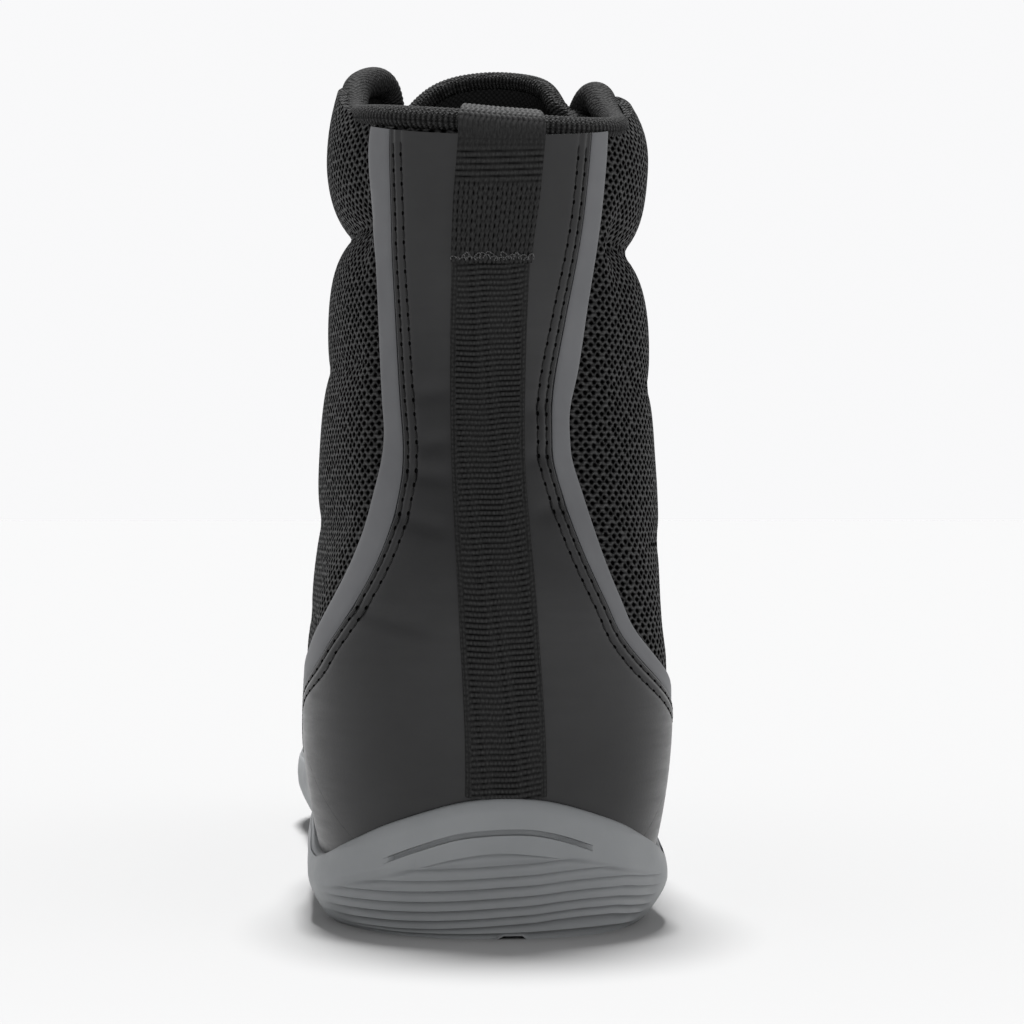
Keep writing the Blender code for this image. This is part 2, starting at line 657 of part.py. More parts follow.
def eyestay():
    """U-shaped facing round the throat, with punched lace holes."""
    rows = [7.2, 8.0, 9.0]
    for z in EYELET_Z:
        rows += [head_row(z - HOLE_HALF * 0.8), head_row(z + HOLE_HALF * 0.8)]
    rows.append(TOP - 0.05)
    holes = {3 + 2 * k for k in range(len(EYELET_Z))}

    def limits(side, t):
        closed = t <= 8
        reach = STAY_WIDE + 9.0 * closed
        return stay_share(side, t, reach), stay_share(side, t, 0.8 * (not closed))

    cuts = (0.0, 0.25, 0.5, 0.68, 1.0)
    points, normals, faces = weld_grid(rows, limits, lambda side, t: cuts, skip=lambda r, c: r in holes and c == 2)
    return thicken(points, normals, faces, STAY_LIFT, STAY_LIFT + STAY_THICK)


def lace():
    """One cord of plain crossings over the tongue, ending at the top holes."""
    base = STAY_LIFT + STAY_THICK + GAP + LACE_R + 1.0
    path = []
    axes = []

    def run(z0, z1, s0, s1, over):
        for k in np.linspace(0, 1, 5):
            share = s0 + (s1 - s0) * k
            t = head_row(z0 + (z1 - z0) * k)
            side = LATERAL if share >= 0 else MEDIAL
            f = 1 - abs(share) * (1 - stay_share(side, t, 9.0))
            path.append(skin(side, t, f, base + over * np.exp(-(share / 0.4) ** 2)))
            axes.append(lookup(SKIN_N, side, t, f))

    last = len(EYELET_Z) - 1
    for k in range(last, 0, -1):
        sign = -1 if k % 2 == 0 else 1
        run(EYELET_Z[k] - LACE_TURN, EYELET_Z[k - 1] + LACE_TURN, sign, -sign, 2 * LACE_R + 0.9)
    run(EYELET_Z[0] - LACE_TURN, EYELET_Z[0] - LACE_TURN, -1, 1, 0.0)
    for k in range(last):
        sign = 1 if k % 2 == 0 else -1
        run(EYELET_Z[k] + LACE_TURN, EYELET_Z[k + 1] - LACE_TURN, sign, -sign, 0.0)
    return tube(path, [LACE_R] * len(path), 5, np.array(axes))


def sole_outline():
    """Reference outline of the sole per side, with outward directions in plan."""
    spread = (1 - np.cos(np.linspace(0, np.pi, RING + 1))) / 2
    y = SOLE_BACK + (SOLE_FRONT - SOLE_BACK) * spread
    half = smooth(PLAN, 2, y) * round_end((y - SOLE_BACK) / HEEL_ROUND, 2.15) * round_end((SOLE_FRONT - y) / 62, 2.0)
    outline = []
    for side in (LATERAL, MEDIAL):
        line = np.stack([smooth(PLAN, 1, y) + SIGN[side] * half, y], axis=1)
        ahead = np.gradient(line, axis=0)
        out = np.stack([ahead[:, 1], -ahead[:, 0]], axis=1) * SIGN[side]
        out[0] = (0, -1)
        out[-1] = (0, 1)
        outline.append((line, out / np.linalg.norm(out, axis=1, keepdims=True)))
    return outline


def skin_offset(start, out, z):
    """Offset from the sole outline to the skin of the upper at a height."""
    low = np.full(len(start), -30.0)
    high = np.full(len(start), 9.0)
    for _ in range(40):
        mid = (low + high) / 2
        x = start[:, 0] + out[:, 0] * mid
        y = start[:, 1] + out[:, 1] * mid
        inside = np.abs(x - centre_x(y, z)) < half_width(y, z)
        low = np.where(inside, mid, low)
        high = np.where(inside, high, mid)
    return low


def sole_rows(line, out):
    """Offsets and heights of the sole's profile rows, from the ground edge over the lip to the cup floor."""
    away = np.abs(line[:, 0])
    ahead = line[:, 1]
    y = ahead + out[:, 1] * skin_offset(line, out, 20.0)
    lip = lip_z(y)
    room = GAP + (PANEL_LIFT + PANEL_THICK) * step(PANEL_FRONT + 12, PANEL_FRONT, y)
    edge = skin_offset(line, out, lip - 0.5) + room + LIP_WALL
    rear = step(46, 10, y)
    ground = under_z(ahead + out[:, 1] * (edge - 2.2))
    high = lip - ground

    def side_offset(z):
        share = (z - ground) / high
        bevel = HEEL_BEVEL * rear * np.clip(1 - share / 0.62, 0, 1)
        return edge + smooth(ROLL, 1, share) - bevel

    rows = [(side_offset(ground), ground)]
    field = smooth(RIDGE_TOP, 1, away)
    for i, level in enumerate(RIDGE_LEVELS):
        z = ground + np.minimum(level, high * (0.24 + 0.055 * i))
        depth = RIDGE_STEP / 2 * step(-0.4, 0.6, field - z) * step(60, 40, y)
        rows.append((side_offset(z) - depth, z - 0.15))
        rows.append((side_offset(z) + depth, z + 0.15))
    arc = ground + high * (0.77 - 0.0042 * np.minimum(away, 26))
    deep = ARC_DEEP * step(ARC_HALF + 2, ARC_HALF, away) * step(40, 30, y)
    for lift, part in ((-0.5, 0.0), (0.0, 1.0), (0.5, 0.0)):
        rows.append((side_offset(arc + lift) - deep * part, arc + lift))
    rows.append((side_offset(ground + 0.9 * high), ground + 0.9 * high))
    rows.append((edge - 0.9, lip))
    floor = floor_z(y)
    for share in (0.99, 0.66, 0.33, 0.0):
        z = floor + (lip - floor) * share
        rows.append((skin_offset(line, out, z) + room, z - FLOOR_DROP * (1 - share)))
    return rows


def ring_solid(rings):
    """Closed solid from matching rows of points on both sides, capped across at both ends."""
    verts = []
    index = {}

    def add(p):
        key = tuple(np.round(p, 4))
        if key not in index:
            index[key] = len(verts)
            verts.append(p)
        return index[key]

    faces = []
    ids = [[[add(p) for p in row] for row in side] for side in rings]
    for side in (LATERAL, MEDIAL):
        for low, high in zip(ids[side][:-1], ids[side][1:]):
            for k in range(len(low) - 1):
                loop = [low[k], low[k + 1], high[k + 1], high[k]]
                faces.append(loop if side == LATERAL else loop[::-1])
    for row, turn in ((0, 1), (-1, -1)):
        a = ids[LATERAL][row]
        b = ids[MEDIAL][row]
        for k in range(len(a) - 1):
            faces.append([a[k], b[k], b[k + 1], a[k + 1]][::turn])
    clean = []
    for loop in faces:
        loop = [v for k, v in enumerate(loop) if v != loop[k - 1]]
        if len(set(loop)) > 2:
            clean.append(loop)
    return np.array(verts), clean


def ring_points(line, out, rows):
    """Rows of points from offsets and heights; both tips lie on the centre line."""
    grid = []
    for offset, z in rows:
        x = line[:, 0] + out[:, 0] * offset
        y = line[:, 1] + out[:, 1] * offset
        grid.append(np.stack([x, y, np.broadcast_to(z, x.shape)], axis=1))
    return grid


def outsole():
    """Cup sole with rolled heel, stepped ridges, arch, toe spring and flat ground spots."""
    rings = [ring_points(line, out, sole_rows(line, out)) for line, out in sole_outline()]
    return ring_solid(rings)


def insole():
    """Foam sock lying in the cup, clear of the upper."""
    rings = []
    for line, out in sole_outline():
        low = floor_z(line[:, 1] + out[:, 1] * skin_offset(line, out, 20.0)) + GAP
        high = low + INSOLE_THICK
        offset = np.minimum(skin_offset(line, out, low), skin_offset(line, out, high)) - WALL - 1.7
        rings.append(ring_points(line, out, [(offset, low), (offset, high)]))
    return ring_solid(rings)


BUILDERS = (
    ("outsole", outsole, (0.19, 0.2, 0.205), 0.6),
    ("insole", insole, (0.03, 0.03, 0.032), 0.9),
    ("upper", upper, (0.012, 0.012, 0.013), 0.85),
    ("heel_panel", heel_panel, (0.035, 0.035, 0.037), 0.45),
    ("trim_lateral", lambda: trim(LATERAL), (0.14, 0.145, 0.15), 0.5),
    ("trim_medial", lambda: trim(MEDIAL), (0.14, 0.145, 0.15), 0.5),
    ("heel_webbing", heel_webbing, (0.02, 0.02, 0.021), 0.8),
    ("pull_loop", pull_loop, (0.022, 0.022, 0.023), 0.8),
    ("collar_binding", collar_binding, (0.016, 0.016, 0.017), 0.9),
    ("tongue", tongue, (0.012, 0.012, 0.013), 0.9),
    ("tongue_binding", tongue_binding, (0.016, 0.016, 0.017), 0.9),
    ("eyestay", eyestay, (0.03, 0.03, 0.032), 0.5),
    ("lace", lace, (0.02, 0.02, 0.021), 0.8),
)


def clear_scene():
    for item in list(bpy.data.objects):
        bpy.data.objects.remove(item, do_unlink=True)


def material(name, colour, rough):
    made = bpy.data.materials.new(name + "_material")
    made.use_nodes = True
    shader = made.node_tree.nodes["Principled BSDF"]
    shader.inputs["Base Color"].default_value = (*colour, 1.0)
    shader.inputs["Roughness"].default_value = rough
    shader.inputs["Metallic"].default_value = 0.0
    return made


def add_part(home, name, verts, faces, colour, rough):
    """One named solid in metres, in triangles."""
    mesh = bpy.data.meshes.new(name)
    mesh.from_pydata([tuple(float(c) * MM for c in v) for v in verts], [], [list(map(int, f)) for f in faces])
    edit = bmesh.new()
    edit.from_mesh(mesh)
    bmesh.ops.triangulate(edit, faces=edit.faces[:])
    edit.to_mesh(mesh)
    edit.free()
    mesh.materials.append(material(name, colour, rough))
    item = bpy.data.objects.new(name, mesh)
    home.objects.link(item)


def main():
    clear_scene()
    home = bpy.data.collections.new(NAME)
    bpy.context.scene.collection.children.link(home)
    built = [(name, *make(), colour, rough) for name, make, colour, rough in BUILDERS]
    every = np.concatenate([row[1] for row in built])
    low = every.min(axis=0)
    high = every.max(axis=0)
    shift = np.array([(low[0] + high[0]) / 2, (low[1] + high[1]) / 2, 0.0])
    for name, verts, faces, colour, rough in built:
        add_part(home, name, verts - shift, faces, colour, rough)


main()
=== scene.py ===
"""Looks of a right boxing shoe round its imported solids: mesh, leather, webbing, knit, rubber, stitches."""

import bpy
import numpy as np
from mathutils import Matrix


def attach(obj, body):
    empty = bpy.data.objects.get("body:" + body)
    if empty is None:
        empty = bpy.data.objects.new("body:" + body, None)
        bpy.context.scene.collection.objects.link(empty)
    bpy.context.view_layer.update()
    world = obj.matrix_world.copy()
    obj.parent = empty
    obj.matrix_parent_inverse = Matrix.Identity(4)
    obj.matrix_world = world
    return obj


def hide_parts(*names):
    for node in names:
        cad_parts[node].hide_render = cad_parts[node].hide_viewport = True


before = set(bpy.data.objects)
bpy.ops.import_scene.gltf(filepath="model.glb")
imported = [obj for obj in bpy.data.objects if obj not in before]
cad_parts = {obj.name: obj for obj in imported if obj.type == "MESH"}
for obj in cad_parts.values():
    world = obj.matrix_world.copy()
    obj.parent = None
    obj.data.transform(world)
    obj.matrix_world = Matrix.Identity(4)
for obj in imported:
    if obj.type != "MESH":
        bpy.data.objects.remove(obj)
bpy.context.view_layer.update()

MM = 0.001
# Middle of the shoe's plan box in the last's own millimetres, where the frame has its origin.
LAST_MIDDLE = np.array([4.83931, 141.08665, 0.0])

# Thicknesses and gaps in millimetres, as in the solids.
WALL = 2.2
GAP = 0.35
PANEL_LIFT = 0.5
PANEL_THICK = 0.8
TRIM_THICK = 0.5
WEB_THICK = 0.8
LOOP_THICK = 0.9
PANEL_TOP = PANEL_LIFT + PANEL_THICK
WEB_TOP = PANEL_TOP + GAP + WEB_THICK
LOOP_LOW = 137.0
LOOP_HALF = 8.2
LOOP_TAPER = 0.55
INSOLE_THICK = 3.5
LIP_WALL = 2.0
LIP_THIN = 0.5
FORE_BEVEL = 2.0
FLOOR_DROP = 0.8
ROLL_R = 2.4
TONGUE_THICK = 3.6
TONGUE_ROLL_R = 2.2
COLLAR_TUCK = (2.8, 1.5)
TUCK_ENDS = ((0.06, 0.24), (0.97, 0.78))
THROAT_LEAN = 2.0
ROLL_INSET = (3.6, 2.7)
INSET_ENDS = ((0.25, 0.42), (0.72, 0.55))
STAY_WIDE = 22.0
STAY_NARROW = 13.0
STAY_CLOSED = 7.0
STAY_FRONT = 7.2
STAY_ROUND = 1.1
STAY_JOIN = (9.6, 8.0)
STAY_OPEN = (8.0, 8.6)
STAY_EDGE = 0.8
STAY_ROWS = (7.4, 7.7, 8.0, 8.5, 9.0)
STAY_CUTS = np.concatenate([np.linspace(0, 0.5, 9), [0.59], np.linspace(0.68, 1.0, 7)])
STAY_THICK = 1.0
STAY_LIFT = 0.75
LACE_R = 1.5

# Rear outline of the upper: height, distance ahead of the heel, sideways place of the back seam.
BACK_LINE = (
    (0, 7.5, 0.7), (8, 5, 0.7), (16, 2.6, 0.7), (29, 0.9, 0.7), (40, 0.1, 0.5), (50, 0, 0),
    (60, 0.5, -0.6), (70, 1.8, -1.1), (80, 4, -1.7), (90, 6.8, -2.2), (100, 9.5, -2.4),
    (110, 11.8, -2.3), (120, 13.2, -2.1), (130, 13.6, -1.8), (140, 13, -1.4), (150, 11.6, -0.6),
    (160, 10, 0.2), (170, 8.6, 0.8), (210, 4.5, 1),
)
# Front outline from toe tip over vamp and instep: height, distance ahead of the heel.
FRONT_LINE = (
    (0, 281.6), (8, 283.4), (16, 284.6), (22, 284.2), (30, 281), (38, 274.6), (44, 265.6), (50, 251.4),
    (55.5, 232.4), (61.5, 210), (69, 186), (79, 160), (92, 141), (110, 128.5), (140, 118.5),
    (170, 114.5), (190, 112.6), (210, 111.4),
)
# Last in plan: distance from heel, centre line, half widths of sole and upper, height of widest line.
PLAN = (
    (-5, -0.6, 37, 37.4, 47), (40, -0.8, 37.2, 37.8, 47), (60, -0.9, 37, 38, 46),
    (80, 0, 36.6, 37.8, 42), (110, 2.2, 36, 37.4, 36), (140, 4.6, 38.5, 38.2, 30),
    (170, 6.2, 43.5, 41.2, 26), (200, 6.2, 46.8, 43.4, 24), (215, 5.2, 47, 43.8, 23.5),
    (235, 2.4, 46, 42.8, 23), (255, -1.6, 43.5, 40.4, 21), (270, -5, 41, 38.2, 19),
    (290, -8.5, 38, 35.5, 16),
)
# Shaft: height, half width, sideways shift.
SHAFT = (
    (40, 40.4, -0.9), (60, 39.5, -0.2), (70, 39.4, 0.9), (80, 38.8, 1.4), (90, 38, 1.1),
    (100, 37.3, 1), (112, 36.8, 1.1), (125, 36, 1.1), (145, 35.6, 0.8), (160, 35.6, 0.5),
    (176, 34.2, 0.5), (210, 33, 0.5),
)
# Quilting seams round the padded sides: height, depth, reach.
QUILTS = ((144.6, 6.4, 6.0), (115.5, 1.7, 6.0), (82.0, 1.5, 6.0), (62.0, 0.8, 5.0))
QUILT_LEAN = 1.9
# Underside of the sole and cup floor: distance from heel, arch lift, floor height.
SOLE_LINE = (
    (-5, 0, 8), (66, 0, 8), (90, 1.8, 7.8), (110, 2.4, 7.4), (135, 1.6, 7), (162, 0, 6.6),
    (222, 0, 6.5), (290, 0, 6.5),
)
SPRING_START = 222.0
SPRING_RATE = 0.0023
# Top edge of the sole: distance from heel, height.
LIP = (
    (-5, 36.5), (2.1, 28.8), (2.8, 28), (5, 25.9), (9.6, 22.7), (13, 20.6), (19, 17.8), (25, 15.7),
    (31, 14.8), (37, 15.5), (45, 17.2), (58, 18.5), (75, 19), (110, 19.4), (150, 20), (200, 20.4),
    (240, 20.8), (265, 23.5), (290, 29),
)
# Side of the sole from ground to lip: share of height, offset from the lip.
ROLL = (
    (0, -4.4), (0.06, -3.2), (0.15, -2.2), (0.3, -0.9), (0.5, 0.3), (0.7, 0.6), (0.9, 0.2), (1, -0.4),
)
HEEL_BEVEL = 3.4
BEVEL_TOP = 0.62
SOLE_BACK = -3.0
SOLE_FRONT = 287.5
PANEL_FRONT = 142.0
# Heel panel edge, measured round the shoe from the back seam: height, lateral, medial.
PANEL_EDGE = (
    (8, 147, 147), (14, 134, 134), (20, 118, 120), (30, 92, 98), (40, 66, 78), (47, 48, 62),
    (54, 34.5, 46.5), (60, 27.5, 38.5), (68, 23.2, 30.6), (78, 18.8, 23.6), (88, 15.5, 19.2),
    (99, 13.2, 17.4), (110, 13.4, 18.2), (126, 16.2, 19.6), (142, 19, 21.4), (165, 19.6, 24.6),
    (180, 20, 25.5),
)
# Trim band along that edge: height, lateral width, medial width.
TRIM_WIDE = (
    (0, 3.6, 5), (50, 4.2, 6.2), (67, 4, 6.9), (87, 5, 7), (105, 4.2, 4.6), (116, 5.4, 4.6),
    (136, 5, 4.6), (155, 5, 6.6), (180, 5, 7),
)
# Webbing half width: height, half width.
WEB_HALF = ((20, 8.0), (47, 7.8), (70, 7.6), (95, 7.2), (115, 7.4), (140, 7.7), (165, 8.3))
# Sections along the sole from the toe: foot on the sole, head on the front line, half width of the throat.
SOLE_SECTIONS = (
    (284.5, 20, 0), (281, 30, 0), (274, 37.5, 0), (262, 43.5, 0), (247, 49, 0),
    (230, 54, 0), (212, 59, 0), (194, 64, 0), (176, 69.5, 0), (158, 75, 9),
    (140, 81, 11), (122, 87, 12), (104, 93, 12.8), (86, 99, 13.4),
    (68, 104.5, 14), (50, 110, 14.6), (34, 115, 15.2), (21, 119, 15.8),
    (13, 122.5, 16), (8.2, 125, 16.2), (5.9, 126.6, 16.4), (5.1, 128, 16.6),
)
# Sections up the shaft: foot on the back line, head on the front line, half width of the throat.
BACK_SECTIONS = (
    (18, 130, 16.9), (29.3, 133, 17.2), (42, 136.5, 17.5), (56, 140, 17.8),
    (70, 144, 18), (84, 148.5, 18.3), (98, 153, 18.6), (112, 158, 18.9),
    (126, 164, 19.2), (140, 171, 20.8), (152, 178, 23.4), (163.5, 185.5, 26.1),
    (176, 197, 28),
)
SECTIONS = SOLE_SECTIONS + BACK_SECTIONS
HEADS = [row[1] for row in SECTIONS]
BACKS = [row[0] for row in BACK_SECTIONS]
CORNER = len(SOLE_SECTIONS) - 1
BACK_LIP = CORNER + 2
SHAFT_ROW = CORNER + 5
TOP = len(SECTIONS) - 2
FINE = 10
# Places per millimetre at which points are welded.
WELD_SKIN = 250
WELD_SOLE = 500
COLS = 161
SHARES = np.linspace(0, 1, COLS)
# Ranges over which forms of the upper fade in or out: heights, stations, or shares from back to front.
CENTRE_FADE = (55, 85)
SHAFT_FADE = (55, 100)
SEAM_FADE = (38, 0)
TUCK_FADE = (120, 60)
VAMP_FADE = (112, 140)
QUILT_LOW = (50, 62)
QUILT_BACK = (0.1, 0.19)
QUILT_FRONT = (0.86, 0.7)
# Stations over which forms of the sole fade in or out.
BACK_FADE = (44, 24)
BEVEL_FADE = (46, 10)
FORE_FADE = (80, 130)
WALL_FADE = (60, 28)
FLUTE_FADE = (60, 40)
ARC_FADE = (40, 30)
NOTCH_FADE = (16, 8)
# Sideways places where flutes and groove end.
FLUTE_ENDS = ((-39, -33), (35, 32))
ARC_ENDS = ((-23.6, -22.8), (17.4, 16.6))
# Roundness of the outlines: reach of the round ends, and powers of their curves.
HEEL_ROUND = 36.0
TOE_ROUND = 60.0
SOLE_TOE_ROUND = 62.0
TOE_HIGH = 18.0
HEEL_POWER = 2.15
DOME_POWER = 2.3
SHAFT_POWER = 2.2
LATERAL = 0
MEDIAL = 1
BOTH = (LATERAL, MEDIAL)
SIGN = (1.0, -1.0)

# Tongue half width: height of its section on the front line, half width.
TONGUE_HALF = ((64, 17), (81, 24), (127, 28), (158, 25), (169, 25), (179, 32), (186, 38.5), (197, 39.5))
TONGUE_LOW = 67.0
TONGUE_HIGH = 177.0
TONGUE_ARCH = 9.4
TONGUE_SHIFT = 15.0
TONGUE_GAP = 1.1
TONGUE_SINK = (150, 185)
TONGUE_TURN = (168, 186)
TONGUE_ROWS = 90
TONGUE_COLS = 41
TONGUE_FLAT = (26.0, 125.0)
EYELET_Z = (80.5, 91.0, 103.0, 116.0, 129.0, 142.0, 155.0, 167.0, 178.5)
HOLE_HALF = 2.1
LACE_INSET = 9.3
LACE_UNDER = 0.3
LACE_OVER = 1.4 * LACE_R
LACE_SIDES = 12
LACE_WIDE = 1.25 * LACE_R
LACE_HIGH = 0.62 * LACE_R
# Depth of a crossing at the hole where it starts and past the edge where it ends, and where it dives.
LACE_START = 3.2
LACE_END = 4.2
BAR_DIVE = 0.9
CROSS_DIVE = 0.62
RING_R = 2.6
RING_WIDE = 0.75
RING_HIGH = 0.4

# Soft folds of the leather: height at the back seam, rise sideways, start and end sideways, depth.
CREASES = (
    (112, 0.15, -15, -8, 0.3), (101, 0.1, -14, -8, 0.35), (92, -0.1, -17, -8, 0.3),
    (80, -0.25, -24, -9, 0.25), (106, 0.12, 8, 13, 0.25), (96, 0.1, 8, 13, 0.3), (84, 0.2, 9, 18, 0.25),
    (60, -0.2, -34, -14, 0.3),
)
CREASE_HALF = 1.7
CREASE_SOFT = 2.5
# Rows of the upper per section, its columns per side, rows of the heel panel, columns of its plain field.
UPPER_ROWS = 7
UPPER_COLS = 56
PANEL_ROWS = 260
FIELD_COLS = 19
# Distances of the heel panel's close columns from its edge, and places across the trim band.
RIM_INSETS = np.concatenate([np.linspace(5.2, 3.6, 4), np.linspace(3.4, 0.7, 14), np.linspace(0.5, 0.0, 5)])
TRIM_PARTS = np.concatenate([[0.0], np.linspace(0.06, 0.94, 10), [1.0]])
# Fine detail that only the looks carry.
STITCH_PITCH = 3.0
STITCH_LONG = 2.4
STITCH_R = 0.22
# Size of the dark capsules painted as the shade in the needle holes.
PIN_LONG = 0.9
PIN_R = 0.24
STITCH_INSETS = (1.1, 3.0)
# One stitch from end to end: place along its half length, share of its radius.
STITCH_FORM = ((-1, 0.45), (-0.82, 0.85), (-0.4, 1), (0, 1.05), (0.4, 1), (0.82, 0.85), (1, 0.45))
CHANNEL_DEEP = 0.22
CHANNEL_HALF = 0.42
MESH_ROWS = 0.2856
MESH_CELL = (2.6, 2.2)
WEB_RIB = 1.13
WEB_GRAIN = 0.8
WEB_SLANT = 0.065
WEB_RELIEF = 0.32
WEB_COLS = 81
LOOP_RELIEF = 0.3
LOOP_GRAIN = 0.9
LOOP_COLS = 85
LOOP_PITCH = 0.24
INNER_ROWS = 14
FOLD_ROWS = 60
SLIT_LONG = 1.9
LOOP_RIB = 1.27
LOOP_SLANT = 0.04
PLAIN_CELL = (1.0, 1.05)
ZIGZAG = 1.5
ZONE_SOFT = 1.2
KNIT_RELIEF = 0.16
ROLL_SIDES = 36
# Crest heights of the flutes behind the heel.
CRESTS = (1.6, 3.6, 5.4, 7.4, 9.5, 11.7, 13.9, 16.3)
FLUTE_DEEP = 0.8
# Rows of one flute, as shares of the way down from its crest.
FLUTE_ROWS = (1.0, 0.9, 0.75, 0.6, 0.45, 0.3, 0.18, 0.08)
# Sideways run of the flutes: place, lift of the crests, upper limit of the field.
FLUTE_RUN = (
    (-40, -2.2, 7), (-32, -2, 10), (-24.6, -1.85, 12.2), (-13.6, -1.4, 16), (-5.4, -0.9, 17.8),
    (0, -0.5, 18.2), (7.4, 0, 17.6), (14.2, 0.7, 16.4), (20.4, 1, 14.8), (24.8, 1, 13.4),
    (30.2, 0.3, 12.2), (40, -1, 10),
)
# Arc groove above the flutes: sideways place, height.
ARC = (
    (-27, 14.4), (-23, 16.5), (-16, 19.3), (-9.2, 21.4), (-3, 22.2), (2, 22.4), (6.8, 22.1), (12, 20.9),
    (17, 19.1), (21, 17.4),
)
ARC_DEEP = 1.5
# Section of the groove: height from its middle, share of its depth.
ARC_FORM = ((-0.75, 0), (-0.63, 0), (-0.48, 0.9), (0, 1), (0.48, 0.9), (0.63, 0), (0.75, 0))
# Section of the lip from outside to inside: share of its wall, drop from its top.
LIP_FORM = ((0.02, 1.1), (0.15, 0.62), (0.32, 0.24), (0.5, 0.05), (0.97, 0.0))
# Notch in the bottom edge at the back, and grooves underneath.
NOTCH_X = 2.6
NOTCH_DEEP = 0.7
NOTCH_HALF = (3.3, 2.5)
HEEL_GROOVE = 1.3
GROOVE_HALF = (3.6, 2.0)
GROOVE_FADE = (70, 60)
TREAD_PITCH = 9.0
TREAD_DEEP = 0.9
TREAD_FORM = (0.1, 0.95)
TREAD_ENDS = ((150, 165), (282, 270))
# Height at which the sole's stations are taken, step in from its side to the ground, place of the groove.
STATION_Z = 20.0
GROUND_INSET = 2.2
ARC_SHARE = 0.74
ARC_BELOW = 2.6
# Rows of the side above the groove and of the cup's wall, as shares of their height.
SIDE_ROWS = (0.2, 0.4, 0.55, 0.68)
CUP_ROWS = (0.99, 0.66, 0.33, 0.0)

# Studio: background, floor paper, and where the key light comes from.
WORLD_GREY = (0.945, 0.945, 0.953)
WORLD_FILL = (1.35, 1.35, 1.36)
FILL_SIDE = (0.7, -0.71, 0.0)
WORLD_HIGH = 0.25
FLOOR_GREY = (0.443, 0.443, 0.444)
KEY_FROM = (0.0, 0.38, 1.5)
KEY_POWER = 5.6
KEY_SOFT = 14.0
FLOOR_REACH = 30.0
CAMERA_PLACE = (-0.0448, -0.7398, 0.0862)
CAMERA_TURN = (90, 0, -4)
CAMERA_LENS = 105.47
CAMERA_SENSOR = 36.0
# Front corner of the collar roll, down the throat edge: sections below the rim, reach ahead, radius.
COLLAR_EAR = ((0.0, 3.4, 3.8), (0.5, 3.2, 3.5), (1.1, 2.6, 3.0), (1.7, 2.0, 2.3), (2.3, 1.6, 1.6))
# Lift of the padded rim above the collar's plane: share from back to front, lateral, medial.
RIM_RISE = ((0.15, 0, 0), (0.45, 2.2, 3.4), (0.62, 2.6, 3.8), (0.82, -1.0, 3.0), (1.0, 0, 0))
# Lift of the collar roll above its seat on that plane: share round the rim, lateral, medial.
ROLL_LIFT = (
    (0, -0.7, -0.7), (0.07, -1.4, -0.1), (0.22, -2.8, -0.5), (0.34, -3.1, -1.9), (0.46, -3, -3),
    (0.56, -2.2, -1.9), (0.66, -0.2, 0.7), (0.75, 1.3, 1.7), (1, 1.3, 1.7),
)
# Distances up the pull loop where its weave changes.
LOOP_ZONES = (16.5, 23.5, 28.5)


def smooth(rows, column, x):
    """Smooth curve through one column of a table."""
    table = np.array(rows, float)
    xs = table[:, 0]
    ys = table[:, column]
    rate = np.diff(ys) / np.diff(xs)
    slope = np.concatenate([rate[:1], (rate[:-1] + rate[1:]) / 2, rate[-1:]])
    slope[1:-1] = np.where(rate[:-1] * rate[1:] <= 0, 0.0, slope[1:-1])
    x = np.clip(np.asarray(x, float), xs[0], xs[-1])
    i = np.clip(np.searchsorted(xs, x) - 1, 0, len(xs) - 2)
    h = xs[i + 1] - xs[i]
    t = (x - xs[i]) / h
    rise = ys[i] * (1 + 2 * t) * (1 - t) ** 2 + ys[i + 1] * t * t * (3 - 2 * t)
    return rise + h * slope[i] * t * (1 - t) ** 2 - h * slope[i + 1] * t * t * (1 - t)


def step(lo, hi, x):
    """Soft step from 0 to 1."""
    t = np.clip((np.asarray(x, float) - lo) / (hi - lo), 0, 1)
    return t * t * (3 - 2 * t)


def within(ends, x):
    """1 between two soft ends and 0 outside them."""
    return step(*ends[0], x) * step(*ends[1], x)


def bell(x, half):
    return np.exp(-(np.asarray(x, float) / half) ** 2)


def unit(v):
    return v / np.maximum(np.linalg.norm(v, axis=-1, keepdims=True), 1e-9)


def spread(count):
    """Shares from 0 to 1, close together at both ends."""
    return (1 - np.cos(np.linspace(0, np.pi, count))) / 2


def run_length(path):
    """Distance along a row of points."""
    return np.concatenate([[0], np.cumsum(np.linalg.norm(np.diff(path, axis=0), axis=1))])


def between(table, row, column):
    """Values of a table at places between its rows and columns."""
    row, column = np.broadcast_arrays(row, column)
    i = np.clip(row, 0, len(table) - 2).astype(int)
    j = np.clip(column, 0, table.shape[1] - 2).astype(int)
    extra = (...,) + (None,) * (table.ndim - 2)
    a = (row - i)[extra]
    b = (column - j)[extra]
    low = table[i, j] * (1 - b) + table[i, j + 1] * b
    high = table[i + 1, j] * (1 - b) + table[i + 1, j + 1] * b
    return low * (1 - a) + high * a


def round_end(u, power):
    """Rounded end of an outline, 0 at the tip and 1 at full width."""
    u = np.clip(u, 0, 1)
    return (1 - (1 - u) ** power) ** (1 / power)


def back_y(z):
    return smooth(BACK_LINE, 1, z)


def front_y(z):
    return smooth(FRONT_LINE, 1, z)


FRONT_Z = np.linspace(20.0, 210.0, 400)
FRONT_Y = front_y(FRONT_Z)


def top_z(y):
    """Height of the vamp and instep above a station."""
    high = np.interp(y, FRONT_Y[::-1], FRONT_Z[::-1])
    return high + 40 * np.maximum(FRONT_Y[-1] - y, 0)


def spring(y):
    return SPRING_RATE * np.maximum(np.asarray(y, float) - SPRING_START, 0) ** 2


def floor_z(y):
    return smooth(SOLE_LINE, 2, y) + 0.85 * spring(y)


def under_z(y):
    return smooth(SOLE_LINE, 1, y) + spring(y)


def lip_z(y):
    return smooth(LIP, 1, y)


